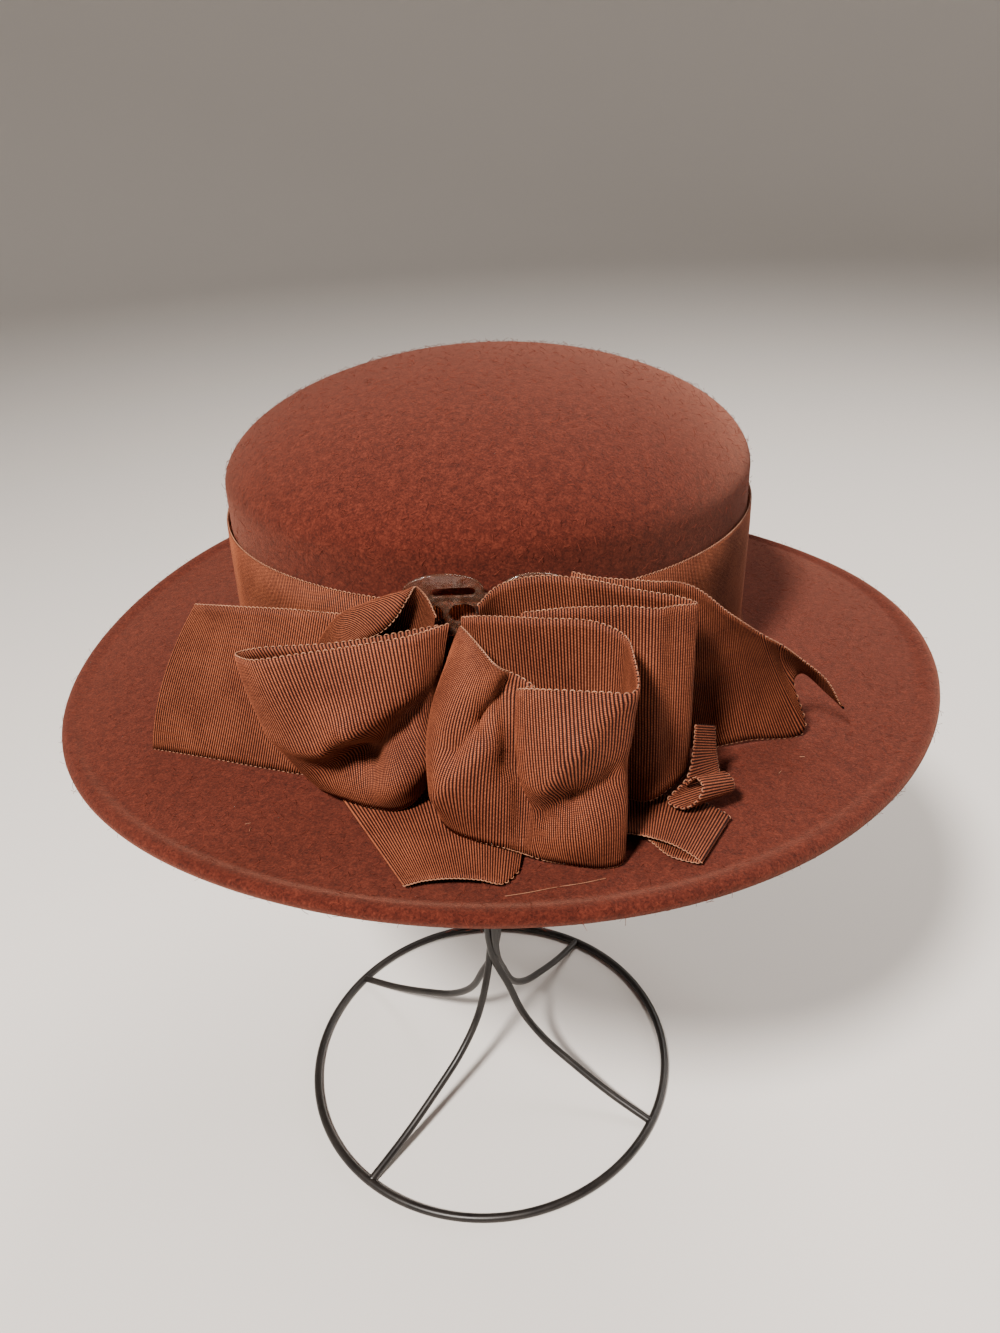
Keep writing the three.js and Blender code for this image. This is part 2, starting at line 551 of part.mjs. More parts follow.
// Round wire along a path
function wire(points, diameter, steps) {
  const section = new THREE.Shape();
  for (let k = 0; k < WIRE_SIDES; k++) {
    const angle = (k / WIRE_SIDES) * 2 * Math.PI;
    const x = (diameter / 2) * Math.cos(angle);
    const y = (diameter / 2) * Math.sin(angle);
    if (k === 0) section.moveTo(x, y);
    else section.lineTo(x, y);
  }
  section.closePath();
  const path = new THREE.CatmullRomCurve3(points);
  return new THREE.ExtrudeGeometry(section, { steps, bevelEnabled: false, extrudePath: path });
}

// From a place in the hat's frame to the part's frame
const hatPlace = new THREE.Vector3(HAT_ASIDE, HAT_BACK, BRIM_HEIGHT);
const hatTurn = new THREE.Euler(-deg(HAT_TIP_BACK), deg(HAT_LEAN), -deg(HAT_TURN), "YXZ");
function hatPoint(x, y, z) {
  return new THREE.Vector3(x, y, z).applyEuler(hatTurn).add(hatPlace);
}

// Ring, four legs that bend up into the post, and the dome that carries the crown, soldered together
function wireStand() {
  const ringHeight = (RING_WIRE / 2) * Math.cos(Math.PI / WIRE_SIDES); // a flat of the wire lies down
  const centre = new THREE.Vector3(STAND_ASIDE, HAT_BACK, ringHeight);
  const ring = new THREE.TorusGeometry(RING_RADIUS, RING_WIRE / 2, WIRE_SIDES, 48);
  ring.translate(centre.x, centre.y, centre.z);
  let stand = toManifold(ring);
  const legAzimuths = [142, -130, -31.6, 54.7];
  const domeTop = CROWN.height - FELT - GAP - LEG_WIRE / 2 - 0.3;
  legAzimuths.forEach((azimuth, i) => {
    const out = new THREE.Vector3(Math.cos(deg(azimuth)), Math.sin(deg(azimuth)), 0);
    const beside = deg(45 + 90 * i);
    const inPost = new THREE.Vector3(Math.cos(beside), Math.sin(beside), 0).multiplyScalar(BUNDLE);
    const legCurve = [
      { r: RING_RADIUS, z: ringHeight },
      { r: 62, z: 8 },
      { r: 42, z: 16.5 },
      { r: 26, z: 25 },
      { r: 14.5, z: 36 },
      { r: 7.5, z: 50 },
    ];
    const foot = legCurve.map(({ r, z }) =>
      new THREE.Vector3(centre.x + POST_ASIDE * (1 - r / RING_RADIUS), centre.y, z).addScaledVector(
        out,
        r,
      ),
    );
    const hub = new THREE.Vector3(centre.x + POST_ASIDE, centre.y, HUB_HEIGHT + 4).add(inPost);
    const neck = hatPoint(CROWN.aside, 0, DOME.foot - 20).add(inPost);
    const head = hatPoint(CROWN.aside, 0, DOME.foot).add(inPost);
    const domeAt = (radius, z) =>
      hatPoint(CROWN.aside + radius * Math.cos(beside), radius * Math.sin(beside), z);
    const domeCurve = [
      domeAt(DOME.radius * 0.5, DOME.foot + 12),
      domeAt(DOME.radius * 0.93, DOME.shoulder - 18),
      domeAt(DOME.radius, DOME.shoulder),
      domeAt(DOME.radius * 0.85, DOME.rim),
      domeAt(DOME.radius * 0.45, domeTop - 2.2),
      domeAt(0.4, domeTop),
    ];
    const path = [...foot, hub, neck, head, ...domeCurve];
    stand = stand.add(toManifold(wire(path, LEG_WIRE, 34)));
  });
  return fromManifold(stand);
}

function namedMesh(name, geometry, material) {
  const mesh = new THREE.Mesh(geometry, material);
  mesh.name = name;
  return mesh;
}

const group = new THREE.Group();
const hat = new THREE.Group();
hat.position.copy(hatPlace);
hat.rotation.copy(hatTurn);
hat.add(namedMesh("felt_body", feltBody(), felt));
hat.add(namedMesh("ribbon_band", ribbonBand(), grosgrain));
for (const [name, rows] of Object.entries(BOW)) {
  const length = ribbonLength(rows, { ...RIBBON_GRID[name], folds: FOLDS[name] });
  hat.add(namedMesh(name, length, grosgrain));
}
const plate = namedMesh("clear_ornament", ornament(), clearPlastic);
plate.position.y = ORNAMENT.y;
plate.rotation.z = deg(ORNAMENT.turn);
hat.add(plate);
group.add(hat);
group.add(namedMesh("wire_stand", wireStand(), blackWire));

export default group;
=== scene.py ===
# Felt boater hat on its black wire stand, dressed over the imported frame.
# Shapes are worked out in millimetres in the hat's own frame: x to the right, y to the back,
# z up from the plane of the brim's edge. in_frame() puts them in the row's frame, in metres.

import math

import bpy
import numpy as np
from mathutils import Matrix, Vector


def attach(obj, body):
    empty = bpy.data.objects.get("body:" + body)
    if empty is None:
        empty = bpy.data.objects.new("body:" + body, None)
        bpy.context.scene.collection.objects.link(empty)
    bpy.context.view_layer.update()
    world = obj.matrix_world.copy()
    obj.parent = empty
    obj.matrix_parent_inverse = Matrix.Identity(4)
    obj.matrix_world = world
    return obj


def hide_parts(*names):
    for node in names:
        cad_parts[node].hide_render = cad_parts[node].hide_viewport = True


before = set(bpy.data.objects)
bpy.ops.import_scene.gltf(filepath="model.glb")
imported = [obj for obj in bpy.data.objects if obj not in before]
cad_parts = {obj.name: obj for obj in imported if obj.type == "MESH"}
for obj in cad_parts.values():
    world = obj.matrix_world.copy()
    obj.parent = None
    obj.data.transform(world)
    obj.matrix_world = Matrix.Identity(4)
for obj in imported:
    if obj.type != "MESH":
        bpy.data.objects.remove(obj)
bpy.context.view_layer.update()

MM = 0.001

# Where the hat sits on the stand
HAT_PLACE = (1.5, -1.0, 230.6)
HAT_TIP_BACK = math.radians(2.3)
HAT_LEAN = math.radians(1.7)
HAT_TURN = math.radians(8.7)

# Felt hood
CROWN_ACROSS = 85.8
CROWN_ALONG = 100.9
CROWN_ASIDE = -2.2
CROWN_HEIGHT = 100.1
SHOULDER_FROM = 67.7
SHOULDER_SQUARENESS = 1.82
BRIM_ACROSS = 150.0
BRIM_ALONG = 161.6
BRIM_ASIDE = -2.0
BRIM_FOOT = 6.0
BRIM_DROP = 4.6
FELT = 2.2
FOOT_ROUND = 4.0
HEM_WIDTH = 7.5
HEM_THICK = 4.2
HEM_RIDGE = 1.1
# Waves of the brim: how many in a turn, lift with the azimuth's cosine and sine,
# and the share of the reach with each
EDGE_WAVES = (
    (2, -1.6, -3.3, 0.003, -0.013),
    (3, 2.0, 1.9, 0.005, -0.002),
    (4, 0.0, 0.0, 0.005, 0.006),
)
FELT_AZIMUTHS = 360

# Ribbon
RIBBON_WIDTH = 50.0
RIBBON_THICK = 0.6
RIB_PITCH = 0.73
RIB_DEPTH = 0.20
STEPS_PER_RIB = 4
RIBS_PER_PICOT = 2
BAND_FOOT = 8.2
BAND_TOP = 56.6
BAND_OFF_FELT = 0.5
# Heights of the band's rows, and how much further off the felt each stands
BAND_ROWS = (
    (BAND_TOP, 0.1),
    (48.0, 0.2),
    (38.0, 0.1),
    (28.0, 0.0),
    (18.0, 0.0),
    (12.5, 0.1),
    (10.0, 0.5),
    (BAND_FOOT, 1.5),
)

# Stand
RING_RADIUS = 83.0
RING_WIRE = 4.2
LEG_WIRE = 3.4
# Round wire's diameter over the faceted wire's
ROUND_WIRE = 0.97
STAND_ASIDE = -16.2
STAND_BACK = -1.0
POST_ASIDE = 5.2
HUB_HEIGHT = 71.0
BUNDLE = 1.6
LEG_AZIMUTHS = (142.0, -130.0, -31.6, 54.7)
# A leg's curve above the ring: distance from the post's line, and height
LEG_CURVE = ((62.0, 8.0), (42.0, 16.5), (26.0, 25.0), (14.5, 36.0), (7.5, 50.0))
DOME_RADIUS = 57.0
DOME_FOOT = 34.0
DOME_SHOULDER = 74.0
DOME_RIM = 86.0
DOME_TOP = CROWN_HEIGHT - FELT - 0.3 - LEG_WIRE / 2 - 0.3

hat_turn = (
    Matrix.Rotation(HAT_LEAN, 3, "Y")
    @ Matrix.Rotation(-HAT_TIP_BACK, 3, "X")
    @ Matrix.Rotation(-HAT_TURN, 3, "Z")
)
HAT_TURN_ARRAY = np.array(hat_turn)


def turned(vectors):
    """Directions in the hat's frame, as directions in the row's frame."""
    return np.asarray(vectors, float) @ HAT_TURN_ARRAY.T


def in_frame(points):
    """Points in the hat's frame in millimetres, as points in the row's frame in metres."""
    return (turned(points) + np.array(HAT_PLACE)) * MM


def add_object(name, data):
    thing = bpy.data.objects.new(name, data)
    bpy.context.scene.collection.objects.link(thing)
    return thing


def new_piece(name, points, faces):
    """A smooth mesh object with its place in its vertices."""
    mesh = bpy.data.meshes.new(name)
    mesh.from_pydata(np.asarray(points).tolist(), [], faces)
    mesh.update()
    mesh.shade_smooth()
    return add_object(name, mesh)


def add_attribute(piece, name, values):
    """A number or a direction for each vertex."""
    values = np.asarray(values, float)
    kind = "FLOAT_VECTOR" if values.ndim == 2 else "FLOAT"
    attribute = piece.data.attributes.new(name, kind, "POINT")
    attribute.data.foreach_set("vector" if values.ndim == 2 else "value", values.ravel())


# Camera
CAMERA_PLACE = (0.0, -0.3290, 0.4037)
CAMERA_DOWN = math.radians(29.85)
CAMERA_ROLL = math.radians(-3.61)
FOCAL_IN_PIXELS = 1001
IMAGE_HEIGHT = 1333
SENSOR = 36.0


def add_camera():
    down, roll = CAMERA_DOWN, CAMERA_ROLL
    level_up = np.array([0, math.sin(down), math.cos(down)])
    level_right = np.array([1, 0, 0])
    right = level_right * math.cos(roll) + level_up * math.sin(roll)
    up = level_up * math.cos(roll) - level_right * math.sin(roll)
    back = np.cross(right, up)
    data = bpy.data.cameras.new("camera")
    data.sensor_fit = "VERTICAL"
    data.sensor_height = SENSOR
    data.lens = FOCAL_IN_PIXELS * SENSOR / IMAGE_HEIGHT
    data.clip_start = 0.01
    camera = add_object("camera", data)
    turn = Matrix([[right[i], up[i], back[i]] for i in range(3)]).to_4x4()
    camera.matrix_world = Matrix.Translation(CAMERA_PLACE) @ turn
    bpy.context.scene.camera = camera


add_camera()


# Node helpers
def add_node(tree, kind, values=None, **settings):
    """A node with its settings. Inputs go by socket name or number and may be other nodes' sockets."""
    node = tree.nodes.new(kind)
    for key, value in settings.items():
        setattr(node, key, value)
    for key, value in (values or {}).items():
        socket = node.inputs[key]
        if isinstance(value, bpy.types.NodeSocket):
            tree.links.new(value, socket)
        else:
            socket.default_value = value
    return node


def maths(tree, operation, first, second=0.0):
    return add_node(tree, "ShaderNodeMath", {0: first, 1: second}, operation=operation).outputs[0]


def new_geometry_tree(name, inputs):
    """A Geometry Nodes tree with named inputs, what they give, and its output node."""
    tree = bpy.data.node_groups.new(name, "GeometryNodeTree")
    tree.interface.new_socket("Geometry", in_out="INPUT", socket_type="NodeSocketGeometry")
    for label, kind, value in inputs:
        socket = tree.interface.new_socket(label, in_out="INPUT", socket_type=kind)
        if value is not None:
            socket.default_value = value
    tree.interface.new_socket("Geometry", in_out="OUTPUT", socket_type="NodeSocketGeometry")
    return tree, tree.nodes.new("NodeGroupInput").outputs, tree.nodes.new("NodeGroupOutput")


def stored(tree, name, kind="FLOAT"):
    """A value that the mesh keeps at each point."""
    node = add_node(tree, "GeometryNodeInputNamedAttribute", {"Name": name}, data_type=kind)
    return node.outputs["Attribute"]


def end_tree(tree, source, material, output):
    """Realizes the copies and gives them their finish, which is what ends each tree."""
    realized = add_node(tree, "GeometryNodeRealizeInstances", {0: source})
    finished = add_node(
        tree, "GeometryNodeSetMaterial", {"Geometry": realized.outputs[0], "Material": material}
    )
    tree.links.new(finished.outputs[0], output.inputs[0])


def grown(piece, tree, values):
    """Runs a tree on a piece and keeps the result as the piece's plain mesh."""
    modifier = piece.modifiers.new("grow", "NODES")
    modifier.node_group = tree
    for item in tree.interface.items_tree:
        if item.in_out == "INPUT" and item.name in values:
            modifier[item.identifier] = values[item.name]
    evaluated = piece.evaluated_get(bpy.context.evaluated_depsgraph_get())
    mesh = bpy.data.meshes.new_from_object(evaluated)
    piece.modifiers.remove(modifier)
    piece.data = mesh
    return piece


# Finishes
def set_inputs(node, values):
    for name, value in values.items():
        node.inputs[name].default_value = value


def new_material(name):
    material = bpy.data.materials.new(name)
    material.use_nodes = True
    tree = material.node_tree
    return material, tree, tree.nodes["Principled BSDF"]


def mottle_group():
    """Mottle: cloudy light and dark at two sizes, as a mask and as a height."""
    tree = bpy.data.node_groups.new("Mottle", "ShaderNodeTree")
    for label, value in (("Cloud scale", 60.0), ("Grain scale", 900.0), ("Grain share", 0.5)):
        socket = tree.interface.new_socket(label, in_out="INPUT", socket_type="NodeSocketFloat")
        socket.default_value = value
    tree.interface.new_socket("Mask", in_out="OUTPUT", socket_type="NodeSocketFloat")
    tree.interface.new_socket("Grain", in_out="OUTPUT", socket_type="NodeSocketFloat")
    given = tree.nodes.new("NodeGroupInput").outputs
    output = tree.nodes.new("NodeGroupOutput")
    place = tree.nodes.new("ShaderNodeTexCoord").outputs["Object"]
    cloud = add_node(
        tree, "ShaderNodeTexNoise", {"Vector": place, "Scale": given["Cloud scale"], "Detail": 4.0}
    )
    grain = add_node(
        tree,
        "ShaderNodeTexNoise",
        {
            "Vector": place,
            "Scale": given["Grain scale"],
            "Detail": 5.0,
            "Roughness": 0.65,
            "Distortion": 0.6,
        },
    )
    mixed = add_node(
        tree,
        "ShaderNodeMix",
        {"Factor": given["Grain share"], "A": cloud.outputs["Fac"], "B": grain.outputs["Fac"]},
    )
    tree.links.new(mixed.outputs[0], output.inputs["Mask"])
    tree.links.new(grain.outputs["Fac"], output.inputs["Grain"])
    return tree


mottle = mottle_group()


def mottled(tree, cloud, grain, share=0.5):
    """The mottle at a finish's own sizes, as its Mask and its Grain."""
    sizes = {"Cloud scale": cloud, "Grain scale": grain, "Grain share": share}
    return add_node(tree, "ShaderNodeGroup", sizes, node_tree=mottle).outputs


def ramp(tree, factor, stops):
    """Colour ramp with the given stops of (place, colour)."""
    node = add_node(tree, "ShaderNodeValToRGB", {"Fac": factor})
    elements = node.color_ramp.elements
    while len(elements) < len(stops):
        elements.new(0.5)
    for element, (place, colour) in zip(elements, stops):
        element.position = place
        element.color = (*colour, 1)
    return node.outputs["Color"]


def roughen(tree, surface, height, strength, depth):
    """Bump on a finish, its depth in metres."""
    bump = add_node(
        tree, "ShaderNodeBump", {"Strength": strength, "Distance": depth, "Height": height}
    )
    tree.links.new(bump.outputs[0], surface.inputs["Normal"])


# Colours of each finish from dark to light, each with its place on the ramp
FELT_COLOURS = (
    (0.36, (0.024, 0.0030, 0.0016)),
    (0.50, (0.056, 0.0082, 0.0041)),
    (0.66, (0.108, 0.0205, 0.0104)),
)
# The grosgrain's darkest stop is painted shade in the rib and thread grooves, and its lightest stop is
# painted light on the rib crests.
GROSGRAIN_GROOVE_SHADE_COLOURS = (
    (0.40, (0.006, 0.0010, 0.0007)),
    (0.72, (0.090, 0.0195, 0.0086)),
    (1.00, (0.360, 0.1090, 0.0490)),
)
PICOT_COLOURS = ((0.35, (0.14, 0.045, 0.020)), (0.65, (0.40, 0.18, 0.095)))
NAP_COLOURS = ((0.35, (0.06, 0.0080, 0.0036)), (0.70, (0.22, 0.042, 0.021)))
PLASTIC_COLOURS = ((0.4, (0.34, 0.15, 0.09)), (0.7, (0.70, 0.46, 0.34)))
WIRE_COLOURS = ((0.35, (0.006, 0.005, 0.005)), (0.75, (0.030, 0.024, 0.020)))


def felt_finish():
    material, tree, surface = new_material("rust brown felt")
    speck = mottled(tree, 420, 1500, 0.72)
    tree.links.new(ramp(tree, speck["Mask"], FELT_COLOURS), surface.inputs["Base Color"])
    roughen(tree, surface, speck["Grain"], 0.55, 0.0004)
    set_inputs(
        surface,
        {
            "Roughness": 0.95,
            "Specular IOR Level": 0.15,
            "Sheen Weight": 0.18,
            "Sheen Roughness": 0.5,
            "Sheen Tint": (1.0, 0.42, 0.28, 1),
        },
    )
    return material


def threads_group():
    """Grosgrain: ribs by the length along the ribbon, and the fine threads wrapped over each rib."""
    tree = bpy.data.node_groups.new("Threads", "ShaderNodeTree")
    for label, value in (("Rib pitch", RIB_PITCH), ("Thread pitch", 0.42)):
        socket = tree.interface.new_socket(label, in_out="INPUT", socket_type="NodeSocketFloat")
        socket.default_value = value
    tree.interface.new_socket("Crest", in_out="OUTPUT", socket_type="NodeSocketFloat")
    tree.interface.new_socket("Thread", in_out="OUTPUT", socket_type="NodeSocketFloat")
    given = tree.nodes.new("NodeGroupInput").outputs
    output = tree.nodes.new("NodeGroupOutput")
    along = add_node(tree, "ShaderNodeAttribute", attribute_name="along").outputs["Fac"]
    across = add_node(tree, "ShaderNodeAttribute", attribute_name="across").outputs["Fac"]
    ribs = maths(tree, "DIVIDE", along, given["Rib pitch"])
    crest = maths(tree, "ABSOLUTE", maths(tree, "SINE", maths(tree, "MULTIPLY", ribs, math.pi)))
    every_other = maths(tree, "MULTIPLY", maths(tree, "FLOOR", ribs), 0.5)
    threads = maths(tree, "ADD", maths(tree, "DIVIDE", across, given["Thread pitch"]), every_other)
    wave = maths(tree, "SINE", maths(tree, "MULTIPLY", threads, 2 * math.pi))
    thread = maths(tree, "MULTIPLY_ADD", wave, 0.5)
    thread.node.inputs[2].default_value = 0.5
    tree.links.new(crest, output.inputs["Crest"])
    tree.links.new(thread, output.inputs["Thread"])
    return tree


threads_over_ribs = threads_group()


def grosgrain_finish():
    material, tree, surface = new_material("brown grosgrain")
    woven = add_node(tree, "ShaderNodeGroup", node_tree=threads_over_ribs).outputs
    speck = mottled(tree, 70, 1800, 0.6)
    # Painted shade and light: the colour is darkened in the grooves between ribs and between threads
    # and lightened on the crests. The mottle adds real uneven tone.
    threads = maths(tree, "MULTIPLY", woven["Thread"], 0.22)
    rib_shade_and_crest_light = maths(tree, "ADD", maths(tree, "MULTIPLY", woven["Crest"], 0.78), threads)
    uneven = maths(tree, "MULTIPLY_ADD", speck["Mask"], 0.7)
    uneven.node.inputs[2].default_value = -0.35
    colour = ramp(tree, maths(tree, "ADD", rib_shade_and_crest_light, uneven), GROSGRAIN_GROOVE_SHADE_COLOURS)
    tree.links.new(colour, surface.inputs["Base Color"])
    roughen(tree, surface, maths(tree, "MULTIPLY", woven["Thread"], woven["Crest"]), 0.5, 0.0001)
    set_inputs(surface, {"Roughness": 0.72, "Specular IOR Level": 0.12})
    return material


def picot_finish():
    material, tree, surface = new_material("pale ribbon edge thread")
    speck = mottled(tree, 400, 4000)
    tree.links.new(ramp(tree, speck["Mask"], PICOT_COLOURS), surface.inputs["Base Color"])
    surface.inputs["Roughness"].default_value = 0.6
    return material


def nap_finish():
    material, tree, surface = new_material("felt fibre")
    speck = mottled(tree, 300, 900)
    tree.links.new(ramp(tree, speck["Mask"], NAP_COLOURS), surface.inputs["Base Color"])
    set_inputs(surface, {"Roughness": 0.9, "Specular IOR Level": 0.2})
    return material


def plastic_finish():
    material, tree, surface = new_material("clear plastic")
    place = tree.nodes.new("ShaderNodeTexCoord").outputs["Object"]
    noise = add_node(tree, "ShaderNodeTexNoise", {"Vector": place, "Scale": 700.0, "Detail": 3.0})
    ripple = noise.outputs["Fac"]
    tree.links.new(ramp(tree, ripple, PLASTIC_COLOURS), surface.inputs["Base Color"])
    roughen(tree, surface, ripple, 0.6, 0.0003)
    set_inputs(surface, {"Roughness": 0.12, "IOR": 1.49, "Transmission Weight": 0.92})
    return material


def wire_finish():
    material, tree, surface = new_material("satin black wire")
    speck = mottled(tree, 120, 1500)
    rough = add_node(
        tree, "ShaderNodeMapRange", {"Value": speck["Mask"], "To Min": 0.28, "To Max": 0.5}
    )
    tree.links.new(ramp(tree, speck["Mask"], WIRE_COLOURS), surface.inputs["Base Color"])
    tree.links.new(rough.outputs[0], surface.inputs["Roughness"])
    roughen(tree, surface, speck["Grain"], 0.2, 0.0001)
    surface.inputs["Metallic"].default_value = 0.2
    return material


felt = felt_finish()
grosgrain = grosgrain_finish()
picot_thread = picot_finish()
nap_fibre = nap_finish()
clear_plastic = plastic_finish()
black_wire = wire_finish()


# Felt hood
def waves_at(azimuth, out):
    """Lift and reach of the brim's waves: all of them at the edge and none at the crown."""
    lift = 0
    reach = 0
    for waves, lift_cos, lift_sin, reach_cos, reach_sin in EDGE_WAVES:
        lift = lift + lift_cos * np.cos(waves * azimuth) + lift_sin * np.sin(waves * azimuth)
        reach = reach + reach_cos * np.cos(waves * azimuth) + reach_sin * np.sin(waves * azimuth)
    return lift * out**2, 1 + reach * out**2


REACH = BRIM_ACROSS - CROWN_ACROSS
HEM_OUT = 1 - HEM_WIDTH / REACH
HEM_STEP = 0.07
LIP_OUT = 1 - HEM_THICK / 2 / REACH


def oval(azimuth, out, z):
    """Points of the felt. out is 0 at the crown's wall and 1 at the brim's edge."""
    lift, reach = waves_at(azimuth, np.maximum(out, 0))
    across = (CROWN_ACROSS + (BRIM_ACROSS - CROWN_ACROSS) * out) * reach
    along = (CROWN_ALONG + (BRIM_ALONG - CROWN_ALONG) * out) * reach
    aside = CROWN_ASIDE + (BRIM_ASIDE - CROWN_ASIDE) * np.maximum(out, 0)
    return np.stack([aside + across * np.cos(azimuth), along * np.sin(azimuth), z + lift], -1)


def brim_height(out):
    """Height of the brim's upper side, with the step up onto the hem."""
    step = np.clip((out - HEM_OUT) / HEM_STEP, 0, 1)
    return BRIM_FOOT - BRIM_DROP * out + HEM_RIDGE * step * step * (3 - 2 * step)


def felt_profile():
    """The felt's section from the crown's top over the brim, and back inside.

    A row has its kind, its place, its height, and whether it shows. The place is the share of the
    crown's oval, or how far out it is on the brim. The crown's inner rows end with their inset.
    """
    outer, inner = [], []
    power = 2 / SHOULDER_SQUARENESS
    rise = CROWN_HEIGHT - SHOULDER_FROM
    for angle in np.linspace(math.pi / 2 * 0.985, 0, 26):
        share = math.cos(angle) ** power
        height = SHOULDER_FROM + rise * math.sin(angle) ** power
        outer.append(("crown", share, height, 1.0))
        lean = math.sin(angle) ** 0.8
        inner.append(("crown_inner", share, height - FELT * lean, FELT * (1 - lean) ** 0.5))
    for height in np.linspace(SHOULDER_FROM - 4, BRIM_FOOT + FOOT_ROUND, 12):
        outer.append(("crown", 1.0, height, 1.0))
        inner.append(("crown_inner", 1.0, height, FELT))
    for angle in np.linspace(0, math.pi / 2, 7)[1:]:
        out = FOOT_ROUND / REACH * (1 - math.cos(angle))
        outer.append(("brim", out, BRIM_FOOT + FOOT_ROUND * (1 - math.sin(angle)), 1.0))
        inner.append(
            (
                "brim",
                (FOOT_ROUND - (FOOT_ROUND + FELT) * math.cos(angle)) / REACH,
                BRIM_FOOT + FOOT_ROUND - (FOOT_ROUND + FELT) * math.sin(angle),
                0.0,
            )
        )
    brim_outs = [np.linspace(0.1, HEM_OUT - 0.005, 14), np.linspace(HEM_OUT, LIP_OUT, 13)]
    for out in np.concatenate(brim_outs):
        outer.append(("brim", out, brim_height(out), 1.0))
    for out in np.linspace(0.1, HEM_OUT - 0.01, 12):
        inner.append(("brim", out, brim_height(out) - FELT, 0.0))
    edge = brim_height(1.0)
    for angle in np.linspace(80, -80, 9):
        outer.append(
            (
                "brim",
                LIP_OUT + (1 - LIP_OUT) * math.cos(math.radians(angle)),
                edge - HEM_THICK / 2 * (1 - math.sin(math.radians(angle))),
                1.0,
            )
        )
    for out in np.linspace(LIP_OUT, HEM_OUT, 4):
        outer.append(("brim", out, edge - HEM_THICK + 0.02, 0.0))
    return outer, inner[::-1]


def soft_waver(azimuth, height):
    """Slight hand-blocked unevenness of the felt, in millimetres."""
    return (
        0.35 * np.sin(3 * azimuth + 0.5 + height / 40)
        + 0.25 * np.sin(5 * azimuth + 2.1 - height / 23)
        + 0.15 * np.sin(9 * azimuth + height / 15)
    )


def felt_piece():
    outer, inner = felt_profile()
    azimuth = np.arange(FELT_AZIMUTHS) / FELT_AZIMUTHS * 2 * math.pi
    rings, shown = [], []
    for kind, value, height, extra in outer + inner:
        if kind == "brim":
            ring = oval(azimuth, value, height)
        else:
            inset = extra if kind == "crown_inner" else 0.0
            across = CROWN_ACROSS * value - inset
            along = CROWN_ALONG * value - inset
            across, along = max(across, 0.5), max(along, 0.5)
            waver = soft_waver(azimuth, height) * min(value, 1.0) * 0.6
            ring = np.stack(
                [
                    CROWN_ASIDE + (across + waver) * np.cos(azimuth),
                    (along + waver) * np.sin(azimuth),
                    np.full_like(azimuth, height),
                ],
                -1,
            )
        rings.append(ring)
        shown.append(np.full(FELT_AZIMUTHS, extra if kind != "crown_inner" else 0.0))
    points = np.concatenate(rings)
    count = len(rings)
    top = np.array([[CROWN_ASIDE, 0, CROWN_HEIGHT + 0.02]])
    under = np.array([[CROWN_ASIDE, 0, CROWN_HEIGHT + 0.02 - FELT]])
    points = np.concatenate([points, top, under])
    grid = np.arange(count * FELT_AZIMUTHS).reshape(count, FELT_AZIMUTHS)
    beside = np.roll(grid, -1, axis=1)
    faces = np.stack([grid[:-1], grid[1:], beside[1:], beside[:-1]], -1).reshape(-1, 4).tolist()
    top_index, under_index = count * FELT_AZIMUTHS, count * FELT_AZIMUTHS + 1
    faces += [[top_index, int(a), int(b)] for a, b in zip(grid[0], beside[0])]
    faces += [[under_index, int(b), int(a)] for a, b in zip(grid[-1], beside[-1])]
    piece = new_piece("felt_hood", in_frame(points), faces)
    add_attribute(piece, "shown", np.concatenate([*shown, [1.0], [0.0]]))
    piece.data.materials.append(felt)
    return piece


def brim_top(x, y):
    """Height of the brim's upper side at a place, from the nearest of a fan of its points."""
    azimuths, outs = np.meshgrid(np.linspace(0, 2 * math.pi, 361), np.linspace(0.07, 0.99, 60))
    surface = oval(azimuths.ravel(), outs.ravel(), brim_height(outs.ravel()))
    nearest = np.argmin((surface[:, 0] - x) ** 2 + (surface[:, 1] - y) ** 2)
    return surface[nearest, 2]


# Ribbon
def spline(points, at):
    """Smooth line through points, its steps weighted by their distance; at counts points from 0."""
    points = np.asarray(points, float)
    padded = np.vstack([2 * points[0] - points[1], points, 2 * points[-1] - points[-2]])
    first = np.clip(np.floor(at).astype(int), 0, len(points) - 2)
    t = (at - first)[:, None]
    p0, p1, p2, p3 = (padded[first + k] for k in range(4))

    def gap(a, b):
        return np.maximum(np.linalg.norm(b - a, axis=1), 1e-6)[:, None] ** 0.5

    d0, d1, d2 = gap(p0, p1), gap(p1, p2), gap(p2, p3)
    start = ((p1 - p0) / d0 - (p2 - p0) / (d0 + d1) + (p2 - p1) / d1) * d1
    end = ((p2 - p1) / d1 - (p3 - p1) / (d1 + d2) + (p3 - p2) / d2) * d1
    c2 = -3 * p1 + 3 * p2 - 2 * start - end
    c3 = 2 * p1 - 2 * p2 + start + end
    return p1 + start * t + c2 * t**2 + c3 * t**3


def unit(vectors):
    return vectors / np.maximum(np.linalg.norm(vectors, axis=-1, keepdims=True), 1e-9)


def surface_normals(grid):
    return unit(np.cross(np.gradient(grid, axis=1), np.gradient(grid, axis=0)))


